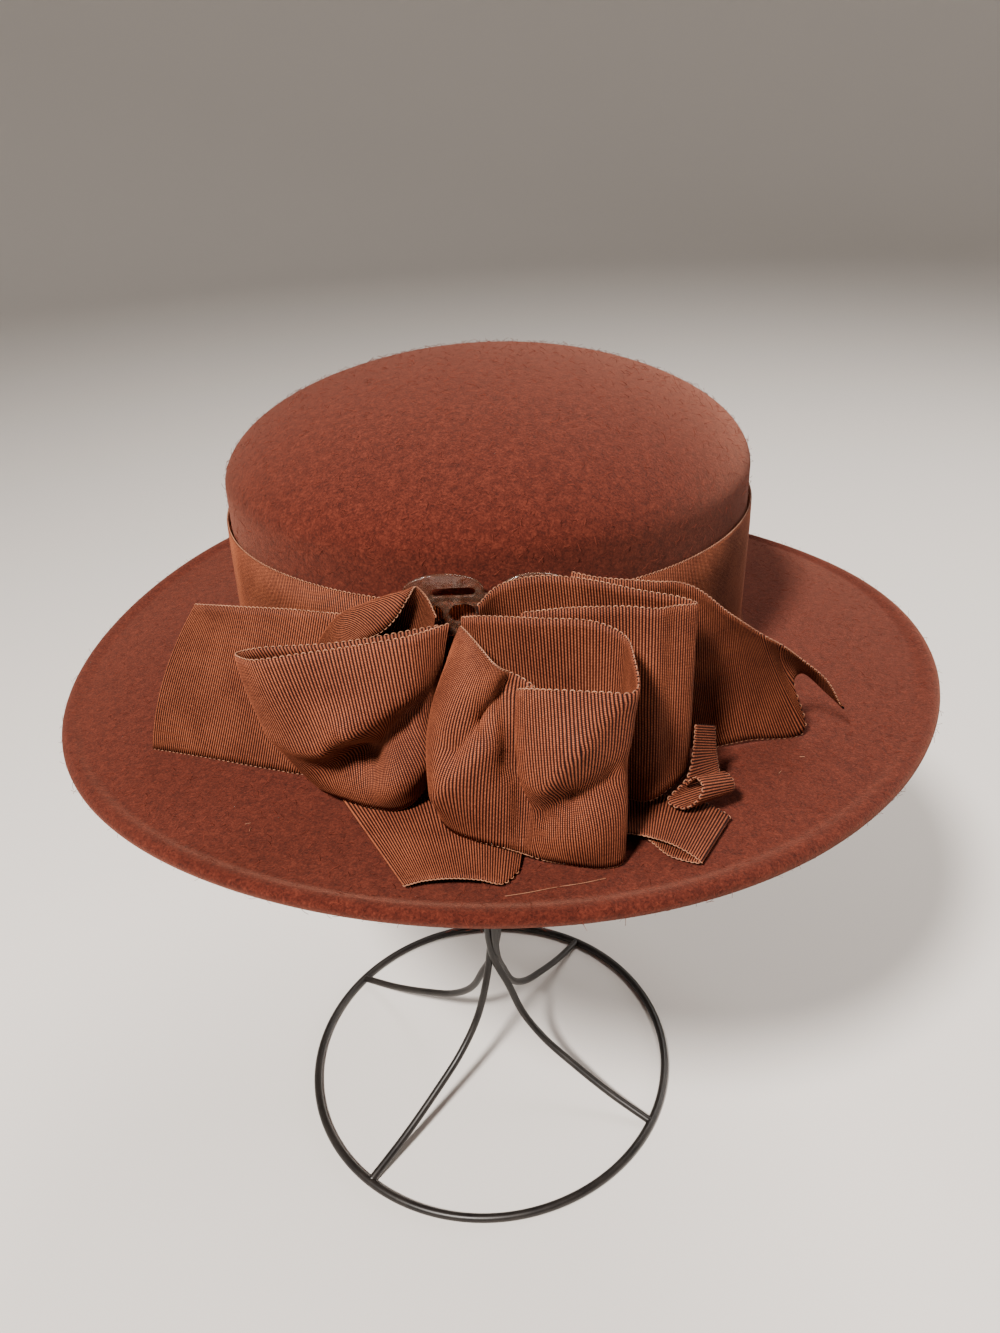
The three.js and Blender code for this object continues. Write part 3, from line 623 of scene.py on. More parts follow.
def closed_sheet(name, grid, along, across_at, ring=False):
    """A ribbon's two faces and rims over a grid of points (length, width), ready for its ribs."""
    normal = surface_normals(grid)
    if ring:
        wrapped = np.concatenate([grid[-1:], grid, grid[:1]])
        normal = surface_normals(wrapped)[1:-1]
    front = grid + normal * RIBBON_THICK / 2
    back = grid - normal * RIBBON_THICK / 2
    long_count, wide_count = grid.shape[:2]
    ids = np.arange(long_count * wide_count).reshape(long_count, wide_count)
    if ring:
        ids = np.concatenate([ids, ids[:1]])
    under = ids + long_count * wide_count

    def quads(a, b, c, d):
        return np.stack([a, b, c, d], -1).reshape(-1, 4)

    faces = [
        quads(ids[:-1, :-1], ids[:-1, 1:], ids[1:, 1:], ids[1:, :-1]),
        quads(under[:-1, :-1], under[1:, :-1], under[1:, 1:], under[:-1, 1:]),
        quads(ids[:-1, 0], ids[1:, 0], under[1:, 0], under[:-1, 0]),
        quads(ids[:-1, -1], under[:-1, -1], under[1:, -1], ids[1:, -1]),
    ]
    if not ring:
        faces.append(quads(ids[0, :-1], under[0, :-1], under[0, 1:], ids[0, 1:]))
        faces.append(quads(ids[-1, :-1], ids[-1, 1:], under[-1, 1:], under[-1, :-1]))
    points = np.concatenate([front.reshape(-1, 3), back.reshape(-1, 3)])
    piece = new_piece(name, in_frame(points), np.concatenate(faces).tolist())
    outward = np.concatenate([normal.reshape(-1, 3), -normal.reshape(-1, 3)])
    add_attribute(piece, "outward", turned(outward))
    along_grid = np.repeat(along[:, None], wide_count, axis=1).ravel()
    add_attribute(piece, "along", np.concatenate([along_grid, along_grid]))
    across_grid = np.tile(across_at, long_count)
    add_attribute(piece, "across", np.concatenate([across_grid, across_grid]))
    return piece


def ribs_tree():
    """Raises crosswise ribs on a ribbon: the wave follows the length stored at each point."""
    tree, given, output = new_geometry_tree(
        "Ribs",
        (
            ("Pitch", "NodeSocketFloat", RIB_PITCH),
            ("Depth", "NodeSocketFloat", RIB_DEPTH * MM),
            ("Finish", "NodeSocketMaterial", None),
        ),
    )
    ribs = maths(tree, "DIVIDE", stored(tree, "along"), given["Pitch"])
    wave = maths(tree, "ABSOLUTE", maths(tree, "SINE", maths(tree, "MULTIPLY", ribs, math.pi)))
    height = maths(tree, "MULTIPLY", maths(tree, "SUBTRACT", wave, 0.6), given["Depth"])
    offset = add_node(
        tree,
        "ShaderNodeVectorMath",
        {0: stored(tree, "outward", "FLOAT_VECTOR"), "Scale": height},
        operation="SCALE",
    )
    moved = add_node(
        tree,
        "GeometryNodeSetPosition",
        {"Geometry": given["Geometry"], "Offset": offset.outputs[0]},
    )
    end_tree(tree, moved.outputs[0], given["Finish"], output)
    return tree


def picots_tree():
    """Sets a small loop of thread at each point, along the ribbon's edge and out from it."""
    tree, given, output = new_geometry_tree(
        "Picots",
        (
            ("Loop width", "NodeSocketFloat", 0.00105),
            ("Loop reach", "NodeSocketFloat", 0.00036),
            ("Thread radius", "NodeSocketFloat", 0.00013),
            ("Finish", "NodeSocketMaterial", None),
        ),
    )
    arc = add_node(
        tree,
        "GeometryNodeCurveArc",
        {"Resolution": 7, "Radius": 1.0, "Start Angle": 0.0, "Sweep Angle": math.pi},
    )
    size = add_node(
        tree,
        "ShaderNodeCombineXYZ",
        {
            "X": maths(tree, "DIVIDE", given["Loop width"], 2.0),
            "Y": given["Loop reach"],
            "Z": 1.0,
        },
    )
    shaped = add_node(
        tree, "GeometryNodeTransform", {"Geometry": arc.outputs["Curve"], "Scale": size.outputs[0]}
    )
    thread = add_node(
        tree,
        "GeometryNodeCurvePrimitiveCircle",
        {"Resolution": 5, "Radius": given["Thread radius"]},
    )
    loop = add_node(
        tree,
        "GeometryNodeCurveToMesh",
        {"Curve": shaped.outputs[0], "Profile Curve": thread.outputs["Curve"], "Fill Caps": True},
    )
    edge_along = stored(tree, "edge_along", "FLOAT_VECTOR")
    edge_out = stored(tree, "edge_out", "FLOAT_VECTOR")
    lengthwise = add_node(
        tree, "FunctionNodeAlignRotationToVector", {"Vector": edge_along}, axis="X"
    )
    facing = add_node(
        tree,
        "FunctionNodeAlignRotationToVector",
        {"Rotation": lengthwise.outputs[0], "Vector": edge_out},
        axis="Y",
        pivot_axis="X",
    )
    loops = add_node(
        tree,
        "GeometryNodeInstanceOnPoints",
        {
            "Points": given["Geometry"],
            "Instance": loop.outputs[0],
            "Rotation": facing.outputs[0],
        },
    )
    end_tree(tree, loops.outputs[0], given["Finish"], output)
    return tree


rib_work = ribs_tree()
picot_work = picots_tree()
picot_points, picot_along, picot_out = [], [], []


def mark_picots(grid, along):
    """Notes where the loops of both woven edges go: in the groove between each two pairs of ribs."""
    spots = np.arange(along[0] + RIB_PITCH, along[-1] - RIB_PITCH / 2, RIB_PITCH * RIBS_PER_PICOT)
    for edge, inner in ((0, 1), (-1, -2)):
        line = grid[:, edge]
        out = unit(line - grid[:, inner])
        tangent = unit(np.gradient(line, axis=0))
        for values, store in ((line, picot_points), (tangent, picot_along), (out, picot_out)):
            store.append(np.stack([np.interp(spots, along, values[:, k]) for k in range(3)], -1))


def evened(directions, reach):
    """Directions averaged over their neighbours along the ribbon."""
    for _ in range(3):
        padded = np.pad(directions, ((reach, reach), (0, 0), (0, 0)), mode="edge")
        total = np.cumsum(np.pad(padded, ((1, 0), (0, 0), (0, 0))), axis=0)
        directions = total[2 * reach + 1 :] - total[: -2 * reach - 1]
    return unit(directions)


def pressed(grid, at, along, across, folds):
    """Presses folds into a ribbon. Each runs straight between two places, by row and share across."""
    u = along[:, None]
    v = across[None, :] * RIBBON_WIDTH
    push = np.zeros(grid.shape[:2])
    for from_row, from_share, to_row, to_share, depth, width, softness in folds:
        start = np.array([np.interp(from_row, at, along), from_share * RIBBON_WIDTH])
        end = np.array([np.interp(to_row, at, along), to_share * RIBBON_WIDTH])
        run = end - start
        part = np.clip(((u - start[0]) * run[0] + (v - start[1]) * run[1]) / (run @ run), 0, 1)
        far = np.hypot(u - start[0] - part * run[0], v - start[1] - part * run[1]) / width
        push += depth * np.exp(-(far**softness))
    return grid + evened(surface_normals(grid), 16) * push[:, :, None]


def ribbon_grid(rows, folds=(), across=24):
    """Points of a length of ribbon through a table's rows, with its folds, and where they are on it."""
    table = np.array([list(row) + [0.0] * (9 - len(row)) for row in rows], float)
    last = len(table) - 1
    fine = np.linspace(0, last, 60 * last + 1)
    a = spline(table[:, 0:3], fine)
    b = spline(table[:, 3:6], fine)
    belly, rise, side = spline(table[:, 6:9], fine).T
    forward = unit(np.gradient(a, axis=0)) + unit(np.gradient(b, axis=0))
    bulge = unit(np.cross(b - a, forward)) * belly[:, None]
    bulge[:, 2] += rise
    bulge[:, 0] += side
    middle = (a + b) / 2 + bulge
    travelled = np.concatenate([[0], np.cumsum(np.linalg.norm(np.diff(middle, axis=0), axis=1))])
    ribs = max(2, round(travelled[-1] / RIB_PITCH))
    along = np.linspace(0, ribs * RIB_PITCH, ribs * STEPS_PER_RIB + 1)
    at = np.interp(along * travelled[-1] / along[-1], travelled, fine)
    a, b, bulge = (
        np.stack([np.interp(at, fine, values[:, k]) for k in range(3)], -1) for values in (a, b, bulge)
    )
    share = np.linspace(0, 1, across + 1)
    s = share[None, :, None]
    grid = a[:, None] * (1 - s) + b[:, None] * s + bulge[:, None] * 4 * s * (1 - s)
    return pressed(grid, at, along, share, folds), along, share * RIBBON_WIDTH


def ribbon_piece(name, rows, folds=()):
    grid, along, across = ribbon_grid(rows, folds)
    piece = closed_sheet(name, grid, along, across)
    mark_picots(grid, along)
    grown(piece, rib_work, {"Finish": grosgrain})
    return piece, along[-1]


def band_piece():
    """Ribbon round the crown, its lower edge flared by the rounded foot of the crown."""
    azimuth = np.arange(3600) / 3600 * 2 * math.pi
    line = np.stack([CROWN_ACROSS * np.cos(azimuth), CROWN_ALONG * np.sin(azimuth)], -1)
    steps = np.linalg.norm(np.diff(np.vstack([line, line[:1]]), axis=0), axis=1)
    travelled = np.concatenate([[0], np.cumsum(steps)])
    ribs = 2 * round(travelled[-1] / RIB_PITCH / 2)
    along = np.arange(ribs * STEPS_PER_RIB) * RIB_PITCH / STEPS_PER_RIB
    stretch = travelled[-1] / (ribs * RIB_PITCH)
    at = np.interp(along * stretch, travelled, np.append(azimuth, 2 * math.pi))
    heights, offs = np.array(BAND_ROWS).T
    offs = offs + BAND_OFF_FELT + RIBBON_THICK / 2
    grid = np.empty((len(at), len(heights), 3))
    for k, (height, off) in enumerate(zip(heights, offs)):
        sway = 0.25 * np.sin(2 * at + 0.8) + 0.2 * np.sin(5 * at)
        waver = soft_waver(at, height) * 0.6
        grid[:, k, 0] = CROWN_ASIDE + (CROWN_ACROSS + off + waver) * np.cos(at)
        grid[:, k, 1] = (CROWN_ALONG + off + waver) * np.sin(at)
        grid[:, k, 2] = height + sway * (height - BAND_FOOT) / 50
    grid = grid[::-1]
    piece = closed_sheet("crown_band", grid, along, BAND_TOP - heights, ring=True)
    mark_picots(grid, along)
    grown(piece, rib_work, {"Finish": grosgrain})
    return piece, ribs * RIB_PITCH


# Bow: rows along each length of ribbon, from its sewn end. A row has the places of the ribbon's two
# woven edges (x, y, z and x, y, z), and how far its middle is pushed out (its belly), up and aside.
BOW = {
    "tail_left": [
        (-73.3, -91, 49, -93.9, -92.6, 2.4, 0, 0, -3),
        (-59, -94, 50, -73.6, -98.8, 4.2),
        (-44, -98, 51.5, -55.5, -104, 5.2),
        (-28, -102, 52.5, -38, -107.6, 5.7),
        (-13, -104, 54.5, -16, -107.4, 6.4),
    ],
    "tail_right": [
        (31, -98.2, 64, 31, -97.6, 14),
        (37.6, -100.4, 63.6, 39, -96.6, 14),
        (50.6, -99.8, 62.6, 54, -93.4, 13),
        (61, -97.6, 60.6, 68, -86.5, 6.4, -1),
        (71.4, -93.6, 51.7, 81, -80, 6.2, -4),
        (80.8, -89, 43.8, 97.6, -73, 5.3, -4),
        (87, -85.5, 39, 92.5, -76, 24, -2),
        (92.4, -82, 33.8, 96.5, -70, 23),
        (101.3, -76.5, 24.4, 103, -72, 18),
        (107.6, -72, 13.6, 109, -69.5, 11.6),
    ],
    "loop_left_front": [
        (0, -114.6, 56, -1, -111.6, 14),
        (-24.5, -119.8, 53, -17, -114, 9.5),
        (-45.5, -120.5, 51, -30, -114.4, 8, 1),
        (-49.2, -123.6, 51, -34.1, -117.4, 8.3, 3.5),
        (-44.6, -126.6, 51, -27.5, -121.5, 8.2, 3.5),
        (-32.8, -124.6, 52, -18.5, -124.8, 8.3, 3),
        (-18.3, -122.9, 54, -10.4, -125, 8.8, 4),
        (-6.2, -121.2, 56, -5.4, -121.6, 12.6, 2),
        (3, -117.6, 58, -4, -117, 27),
    ],
    "loop_left_top": [
        (-31, -116.8, 50.2, -36, -108.4, 12, 0, 2),
        (-22, -116.8, 51.8, -42, -109.7, 22, 0, 10),
        (-14.6, -116.5, 54.9, -38, -109.6, 30, 0, 14),
        (-10.5, -116, 58.8, -31, -109.6, 32, 0, 13),
        (-7.6, -115, 63.4, -23, -109.6, 34, 0, 10),
        (-6, -112.8, 65.2, -14, -109.6, 34, 0, 6),
        (-3.5, -111.8, 62, -9, -109.8, 30, 0, 3),
        (-1.2, -113, 57.5, -6, -110.6, 26),
    ],
    "loop_centre": [
        (5.6, -115.4, 58.6, 4, -113, 14),
        (10.4, -117.4, 60, 12, -115.5, 14),
        (24.1, -118.8, 60.5, 27, -117.5, 13),
        (37.8, -118.8, 60, 38.5, -120, 13),
        (44.6, -122.2, 58.5, 43.5, -124, 12),
        (46.7, -129, 57, 45.3, -131, 10.4),
        (46.7, -136.2, 52.5, 46, -137.6, 5.4),
        (39.8, -138.2, 52.3, 41.5, -139.4, 4.7, -2),
        (31.0, -138.2, 52.2, 35.9, -139.4, 4.8, -4),
        (23.0, -138.2, 52.1, 29.2, -139.2, 5.6, -2, 0, -1),
        (21.3, -136.6, 51.0, 26.5, -139, 6.0, 0, 0, -2),
        (23.0, -134.2, 50.4, 24.5, -138.9, 6.6, 1, 0, -2),
        (24.4, -132.6, 49.6, 22.8, -138.8, 7.2, 2, 0, -1),
        (22.3, -131.8, 50.4, 20.9, -138.8, 7.8, 2),
        (18.7, -132.4, 52.6, 18.0, -139, 8.9, 0),
        (15.2, -131.6, 54.9, 9.6, -137, 9.3, -5),
        (11.9, -128.4, 57.0, 2.4, -132.4, 9.3, -7),
        (8.6, -123.4, 57.8, -1.0, -125, 11.8, -6),
        (5.9, -119.4, 58.2, 0.5, -119.6, 19.0, -3),
    ],
    "loop_right": [
        (9.2, -113.6, 61, 12, -110.5, 14),
        (13.6, -107, 63.5, 17, -105.5, 14),
        (21.7, -104.2, 65, 26, -101.4, 15),
        (33.5, -104.6, 65, 38, -98.4, 15),
        (48.4, -106.5, 63, 52, -98.6, 14),
        (58, -105.5, 61, 60, -101.5, 13),
        (61.8, -106.5, 60, 62.4, -106.5, 13),
        (57.4, -109.4, 60.5, 58.3, -114.3, 12.5),
        (51.7, -113.3, 61, 52.2, -119, 10.8),
        (41.6, -114.6, 62, 44.5, -117.4, 10.6),
        (31.8, -115.6, 62, 34, -115, 12),
        (20.1, -117.1, 61, 21, -114.4, 12),
    ],
    "loop_lower_left": [
        (0, -118, 5.9, 10, -145, 5.4),
        (-16, -118, 5.8, -2, -147.5, 5.4),
        (-28.5, -118.5, 6.3, -4.8, -151.6, 6),
        (-18, -118, 7.1, -0.4, -150.6, 6.9),
        (-4, -118, 7.3, 6.5, -150, 7.7),
        (8, -119, 8, 13, -149.6, 7.4),
        (17, -122, 7.8, 18.2, -148.6, 5.8),
        (22, -124, 7.2, 21.6, -142.6, 5.2),
    ],
    "loop_lower_right": [
        (42, -112.5, 5.4, 43.5, -121, 5.2),
        (52, -113, 5.2, 52, -127, 4.9),
        (63, -115, 4.9, 58, -133.4, 4.6),
        (73, -117.4, 5.3, 65, -135.6, 5),
        (65, -112, 6.6, 59, -132, 6.8),
        (52, -111, 6.8, 51.5, -129.6, 7.5),
        (42, -111, 7, 43.5, -128.6, 7.5),
    ],
    "curl_right": [
        (63.8, -106.5, 26.3, 68.9, -102, 23.5),
        (63.6, -108, 20, 69.6, -103, 17),
        (62.2, -112.6, 14, 70.4, -105, 12.6),
        (57.4, -117.5, 9.7, 71.2, -109, 10),
        (61.2, -120.3, 9.6, 72.4, -112, 9.6),
        (64.7, -120.5, 12.9, 73.7, -113, 11),
        (65.7, -118, 15.1, 73.7, -112.2, 13),
        (64, -115.7, 16, 71.8, -110.4, 14.4),
        (61.5, -114.6, 12.9, 70, -109.4, 13),
    ],
}

# Folds pressed into the loops: from row and share across, to row and share across, depth, width
# and softness. A depth has the sense of a belly. A softness of 2 is rounded and of 1 a sharp crease.
FOLDS = {
    "loop_centre": [
        (6.3, 0.02, 7.6, 0.25, -2.2, 4, 1.1),
        (7.6, 0.25, 8.7, 0.52, -2.6, 4, 1.1),
        (6.6, 0.50, 8.0, 0.61, 4.0, 5.5, 1.5),
        (8.0, 0.61, 9.0, 0.72, 3.8, 5.5, 1.5),
        (13.8, 0.04, 14.9, 0.28, 3.4, 3.6, 1.5),
        (14.9, 0.28, 15.5, 0.50, 3.4, 4, 1.5),
        (14.0, 0.14, 13.9, 0.52, 1.8, 3, 2),
        (14.8, 0.40, 15.9, 0.79, -2.2, 4, 1.4),
    ],
    "loop_left_front": [
        (4.3, 0.78, 5.2, 0.72, -4.0, 6.5, 2),
        (5.2, 0.70, 6.6, 0.52, -7.0, 7, 2),
        (3.4, 0.50, 4.6, 0.58, 1.2, 3.5, 1.4),
        (4.6, 0.56, 5.4, 0.45, 2.2, 3.5, 1.2),
        (5.4, 0.45, 6.7, 0.34, 2.2, 3.5, 1.2),
        (5.6, 0.85, 6.9, 0.78, 2.0, 4.5, 2),
    ],
    "loop_right": [
        (7.3, 0.05, 7.2, 0.9, 0.8, 3, 2),
        (8.4, 0.0, 8.6, 0.5, 1.5, 5, 2),
    ],
    "tail_right": [(2.6, 0.1, 3.4, 0.9, -1.5, 5, 2)],
}


def bow_pieces():
    made = {}
    for name, rows in BOW.items():
        made[name] = ribbon_piece(name + "_ribbon", rows, FOLDS.get(name, ()))
    return made


def picots_piece():
    points = np.concatenate(picot_points)
    piece = new_piece("woven_edge_loops", in_frame(points), [])
    add_attribute(piece, "edge_along", turned(np.concatenate(picot_along)))
    add_attribute(piece, "edge_out", turned(np.concatenate(picot_out)))
    return grown(piece, picot_work, {"Finish": picot_thread})


# Felt nap
def nap_tree():
    """Scatters short bent fibres over the felt that shows, lying nearly flat."""
    tree, given, output = new_geometry_tree(
        "Nap",
        (
            ("Fibres per square metre", "NodeSocketFloat", 88000.0),
            ("Fibre radius", "NodeSocketFloat", 0.00004),
            ("Fibre length", "NodeSocketFloat", 0.0017),
            ("Finish", "NodeSocketMaterial", None),
        ),
    )
    spread = add_node(
        tree,
        "GeometryNodeDistributePointsOnFaces",
        {
            "Mesh": given["Geometry"],
            "Density": maths(
                tree, "MULTIPLY", given["Fibres per square metre"], stored(tree, "shown")
            ),
            "Seed": 7,
        },
    )
    bend = add_node(
        tree,
        "GeometryNodeCurveQuadraticBezier",
        {
            "Resolution": 3,
            "Start": (0, 0, -0.05),
            "Middle": (0.35, 0.0, 0.26),
            "End": (0.95, 0.25, 0.30),
        },
    )
    length = add_node(
        tree, "ShaderNodeCombineXYZ", {axis: given["Fibre length"] for axis in "XYZ"}
    )
    sized = add_node(
        tree,
        "GeometryNodeTransform",
        {"Geometry": bend.outputs["Curve"], "Scale": length.outputs[0]},
    )
    section = add_node(
        tree,
        "GeometryNodeCurvePrimitiveCircle",
        {"Resolution": 3, "Radius": given["Fibre radius"]},
    )
    fibre = add_node(
        tree,
        "GeometryNodeCurveToMesh",
        {"Curve": sized.outputs[0], "Profile Curve": section.outputs["Curve"]},
    )
    spin = add_node(
        tree,
        "FunctionNodeRandomValue",
        {"Min": (0.0, -0.25, 0.0), "Max": (0.0, 0.2, 2 * math.pi), "Seed": 11},
        data_type="FLOAT_VECTOR",
    )
    laid = add_node(
        tree,
        "FunctionNodeRotateRotation",
        {"Rotation": spread.outputs["Rotation"], "Rotate By": spin.outputs["Value"]},
        rotation_space="LOCAL",
    )
    size = add_node(tree, "FunctionNodeRandomValue", {"Seed": 5}, data_type="FLOAT")
    size.inputs[2].default_value = 0.5
    size.inputs[3].default_value = 1.5
    fibres = add_node(
        tree,
        "GeometryNodeInstanceOnPoints",
        {
            "Points": spread.outputs["Points"],
            "Instance": fibre.outputs[0],
            "Rotation": laid.outputs[0],
            "Scale": size.outputs[1],
        },
    )
    end_tree(tree, fibres.outputs[0], given["Finish"], output)
    return tree


def nap_piece(hood):
    return grown(add_object("felt_nap", hood.data.copy()), nap_tree(), {"Finish": nap_fibre})


# Round threads and wires
ASKEW = (0.31, 0.17, 0.93)


def tube(points, diameter, sides=16):
    """Vertices and faces of a capped round wire through points in metres."""
    points = np.asarray(points)
    tangent = unit(np.gradient(points, axis=0))
    side = np.cross(tangent[0], ASKEW)
    rings = []
    for place, direction in zip(points, tangent):
        side = side - direction * np.dot(side, direction)
        side = side / np.linalg.norm(side)
        other = np.cross(direction, side)
        angle = np.arange(sides) / sides * 2 * math.pi
        circle = np.outer(np.cos(angle), side) + np.outer(np.sin(angle), other)
        rings.append(place + diameter / 2 * circle)
    count = len(rings)
    grid = np.arange(count * sides).reshape(count, sides)
    beside = np.roll(grid, -1, axis=1)
    faces = np.stack([grid[:-1], beside[:-1], beside[1:], grid[1:]], -1).reshape(-1, 4).tolist()
    faces += [grid[0][::-1].tolist(), grid[-1].tolist()]
    return np.concatenate(rings), faces


# Lint on the felt: a loose thread on the brim's front, and specks by their place and turn
LINT_THREAD = ((19.2, -151.9), (24.8, -149.9), (30.7, -147.4), (36.7, -145.3), (42.3, -142.8))
LINT_SPECKS = ((-51.4, -128.5, 20), (-50, -130.9, 100), (88.8, -92.6, 60), (96, -84, 10))
LINT_WIDTH = 0.16
LINT_LIFT = 0.25
SPECK_REACH = 0.7


def lint_piece():
    lines = [LINT_THREAD]
    for x, y, turn in LINT_SPECKS:
        aside = SPECK_REACH * math.cos(math.radians(turn))
        ahead = SPECK_REACH * math.sin(math.radians(turn))
        lines.append([(x + end * aside, y + end * ahead) for end in (-1, 0, 1)])
    points, faces = [], []
    for line in lines:
        route = np.array([(x, y, brim_top(x, y) + LINT_LIFT) for x, y in line])
        fine = spline(route, np.linspace(0, len(route) - 1, 12 * len(route)))
        start = sum(len(p) for p in points)
        thread_points, thread_faces = tube(in_frame(fine), LINT_WIDTH * MM, sides=6)
        points.append(thread_points)
        faces += [[start + i for i in face] for face in thread_faces]
    piece = new_piece("lint_on_felt", np.concatenate(points), faces)
    piece.data.materials.append(picot_thread)
    return piece


# Wire stand
def leg_points(number, azimuth):
    """One wire of the stand: from the ring up the post and out over the dome, in metres."""
    turn = math.radians(azimuth)
    beside = math.radians(45 + 90 * number)
    ring_height = RING_WIRE / 2 * math.cos(math.pi / 6)
    out = np.array([math.cos(turn), math.sin(turn), 0])
    in_post = BUNDLE * np.array([math.cos(beside), math.sin(beside), 0])
    foot = [
        np.array([STAND_ASIDE + POST_ASIDE * (1 - r / RING_RADIUS), STAND_BACK, z]) + out * r
        for r, z in ((RING_RADIUS, ring_height), *LEG_CURVE)
    ]
    hub = np.array([STAND_ASIDE + POST_ASIDE, STAND_BACK, HUB_HEIGHT]) + in_post
    neck = in_frame([[CROWN_ASIDE, 0, DOME_FOOT - 20]])[0] / MM + in_post
    head = in_frame([[CROWN_ASIDE, 0, DOME_FOOT]])[0] / MM + in_post
    dome = (
        (DOME_RADIUS * 0.5, DOME_FOOT + 12),
        (DOME_RADIUS * 0.93, DOME_SHOULDER - 18),
        (DOME_RADIUS, DOME_SHOULDER),
        (DOME_RADIUS * 0.85, DOME_RIM),
        (DOME_RADIUS * 0.45, DOME_TOP - 2.2),
        (0.4, DOME_TOP),
    )
    over = [
        in_frame([[CROWN_ASIDE + r * math.cos(beside), r * math.sin(beside), z]])[0] / MM
        for r, z in dome
    ]
    route = np.array([*foot, hub, neck, head, *over])
    return spline(route, np.linspace(0, len(route) - 1, 181)) * MM


def stand_piece():
    points, faces = [], []
    ring_height = RING_WIRE / 2 * math.cos(math.pi / 6)
    turns, sides = 180, 20
    major = np.arange(turns) / turns * 2 * math.pi
    minor = np.arange(sides) / sides * 2 * math.pi
    reach = RING_RADIUS + ring_height * np.cos(minor)[None, :]
    ring = np.stack(
        [
            STAND_ASIDE + reach * np.cos(major)[:, None],
            STAND_BACK + reach * np.sin(major)[:, None],
            np.broadcast_to(ring_height + ring_height * np.sin(minor)[None, :], (turns, sides)),
        ],
        -1,
    )
    grid = np.arange(turns * sides).reshape(turns, sides)
    along, beside = np.roll(grid, -1, axis=0), np.roll(grid, -1, axis=1)
    both = np.roll(along, -1, axis=1)
    points.append(ring.reshape(-1, 3) * MM)
    faces += np.stack([grid, along, both, beside], -1).reshape(-1, 4).tolist()
    for number, azimuth in enumerate(LEG_AZIMUTHS):
        start = sum(len(p) for p in points)
        wire_points, wire_faces = tube(leg_points(number, azimuth), LEG_WIRE * ROUND_WIRE * MM)
        points.append(wire_points)
        faces += [[start + i for i in face] for face in wire_faces]
    piece = new_piece("black_wire_stand", np.concatenate(points), faces)
    piece.data.materials.append(black_wire)
    return piece


# Clear ornament: its arches by left, right and top, and its slots by left, right, foot and top
ORNAMENT_THICK = 1.2
ORNAMENT_EDGE = 0.25
ORNAMENT_Y = -105.4
ORNAMENT_TURN = math.radians(9.3)
ORNAMENT_FOOT = 49.3
ORNAMENT_DIP = (11.8, 59.8)
ARCH_FOOT = 60.2
LEFT_ARCH = (-10.7, 9.6, 65.6)
RIGHT_ARCH = (14.0, 31.7, 65.0)
SLOTS = (
    (-3.5, 7.5, 59.9, 62.1),
    (-8.5, -0.8, 52.8, 57.6),
    (0.8, 7.5, 52.8, 57.6),
    (18.5, 29.0, 59.8, 62.4),
)


def arch_points(left, right, top):
    middle, half = (left + right) / 2, (right - left) / 2
    return [
        (middle - half * math.cos(a), ARCH_FOOT + (top - ARCH_FOOT) * math.sin(a) ** 0.8)
        for a in np.linspace(0, math.pi, 25)
    ]


def slot_points(left, right, foot, top):
    """A slot's outline, drawn larger by the edge that the bevel takes up."""
    radius = (top - foot) / 2 + ORNAMENT_EDGE
    ends = (
        (left + radius - ORNAMENT_EDGE, math.pi / 2),
        (right - radius + ORNAMENT_EDGE, -math.pi / 2),
    )
    return [
        (x + radius * math.cos(start + turn), (foot + top) / 2 + radius * math.sin(start + turn))
        for x, start in ends
        for turn in np.linspace(0, math.pi, 9)
    ]


def ornament_piece():
    """Two arches side by side on a plain foot, with slots, from clear sheet with soft edges."""
    curve = bpy.data.curves.new("ornament", "CURVE")
    curve.dimensions = "2D"
    curve.fill_mode = "BOTH"
    curve.extrude = ORNAMENT_THICK / 2 - ORNAMENT_EDGE
    curve.bevel_depth = ORNAMENT_EDGE
    curve.bevel_resolution = 2
    outline = [
        (LEFT_ARCH[0], ORNAMENT_FOOT),
        *arch_points(*LEFT_ARCH),
        ORNAMENT_DIP,
        *arch_points(*RIGHT_ARCH),
        (RIGHT_ARCH[1], ORNAMENT_FOOT),
    ]
    for points in (outline, *(slot_points(*slot) for slot in SLOTS)):
        line = curve.splines.new("POLY")
        line.points.add(len(points) - 1)
        for spot, (x, z) in zip(line.points, points):
            spot.co = (x, z, 0, 1)
        line.use_cyclic_u = True
    shape = add_object("ornament_shape", curve)
    mesh = bpy.data.meshes.new_from_object(shape.evaluated_get(bpy.context.evaluated_depsgraph_get()))
    bpy.data.objects.remove(shape)
    flat = np.empty(len(mesh.vertices) * 3)
    mesh.vertices.foreach_get("co", flat)
    aside, up, depth = flat.reshape(-1, 3).T
    sin, cos = math.sin(ORNAMENT_TURN), math.cos(ORNAMENT_TURN)
    placed = np.stack([aside * cos + depth * sin, ORNAMENT_Y + aside * sin - depth * cos, up], -1)
    mesh.vertices.foreach_set("co", in_frame(placed).ravel())
    mesh.update()
    piece = add_object("clear_arches", mesh)
    piece.data.materials.append(clear_plastic)
    return piece


# Floor and light
FLOOR_FLAT = 2.5
FLOOR_RISE = 1.5
FLOOR_WALL = 3.0
FLOOR_TURNS = 96
LIT_PLACE = (0, 0, 0.24)
# Each light's place in metres, size, power and colour
LIGHTS = {
    "key": ((-0.46, -0.84, 1.32), 0.20, 58, (1.0, 0.94, 0.88)),
    "overhead": ((0.50, 0.60, 1.35), 0.8, 16, (1.0, 0.95, 0.9)),
    "fill": ((1.25, 0.35, 0.50), 0.6, 6, (1.0, 0.95, 0.9)),
}
ROOM_LIGHT = (1.0, 0.93, 0.87, 1)
ROOM_STRENGTH = 0.08


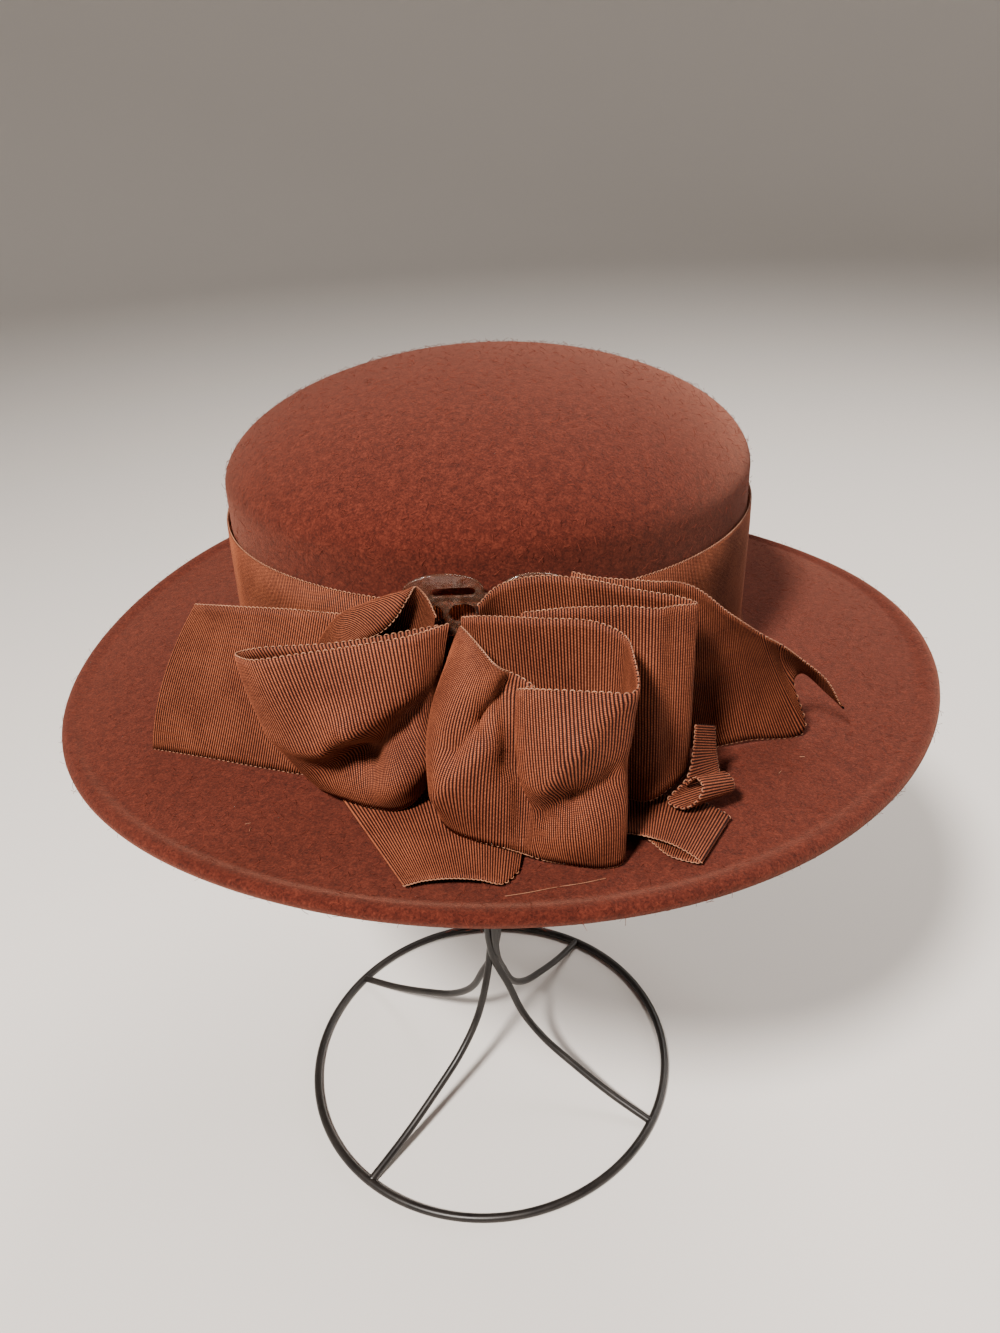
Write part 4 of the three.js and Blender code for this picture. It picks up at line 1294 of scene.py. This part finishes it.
def add_floor():
    """Pale floor that sweeps up into a round wall a few metres away."""
    profile = [
        (FLOOR_FLAT + FLOOR_RISE * math.sin(a), FLOOR_RISE * (1 - math.cos(a)))
        for a in np.linspace(0, math.pi / 2, 17)
    ]
    profile.append((FLOOR_FLAT + FLOOR_RISE, FLOOR_WALL))
    azimuths = [2 * math.pi * k / FLOOR_TURNS for k in range(FLOOR_TURNS)]
    points = [(0.0, 0.0, 0.0)]
    for radius, z in profile:
        points += [(radius * math.cos(a), radius * math.sin(a), z) for a in azimuths]
    ring = list(range(FLOOR_TURNS))
    pairs = list(zip(ring, ring[1:] + ring[:1]))
    faces = [[0, 1 + k, 1 + after] for k, after in pairs]
    for row in range(len(profile) - 1):
        low = 1 + row * FLOOR_TURNS
        high = low + FLOOR_TURNS
        faces += [[low + k, high + k, high + after, low + after] for k, after in pairs]
    floor = new_piece("floor", points, faces)
    material, tree, surface = new_material("pale floor")
    set_inputs(surface, {"Base Color": (0.78, 0.74, 0.70, 1), "Roughness": 0.9})
    floor.data.materials.append(material)


def add_light(name, place, size, power, colour):
    data = bpy.data.lights.new(name, "AREA")
    data.shape = "DISK"
    data.size = size
    data.energy = power
    data.color = colour
    light = add_object(name, data)
    direction = np.array(place) - np.array(LIT_PLACE)
    light.location = place
    light.rotation_mode = "QUATERNION"
    light.rotation_quaternion = Vector(direction).to_track_quat("Z", "Y")


def add_lights():
    for name, (place, size, power, colour) in LIGHTS.items():
        add_light(name, place, size, power, colour)
    world = bpy.data.worlds.new("studio")
    world.use_nodes = True
    lit = {"Color": ROOM_LIGHT, "Strength": ROOM_STRENGTH}
    set_inputs(world.node_tree.nodes["Background"], lit)
    bpy.context.scene.world = world


add_floor()
add_lights()

hood = felt_piece()
nap = nap_piece(hood)
band, band_length = band_piece()
bow = bow_pieces()
picots = picots_piece()
stand = stand_piece()
lint = lint_piece()
ornament = ornament_piece()

for piece in (hood, nap, lint, band, picots, stand, ornament, *(made for made, _ in bow.values())):
    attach(piece, "root")

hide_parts("felt_body")
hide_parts("ribbon_band")
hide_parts("wire_stand")
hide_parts("clear_ornament")
for name, (piece, length) in bow.items():
    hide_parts(name)
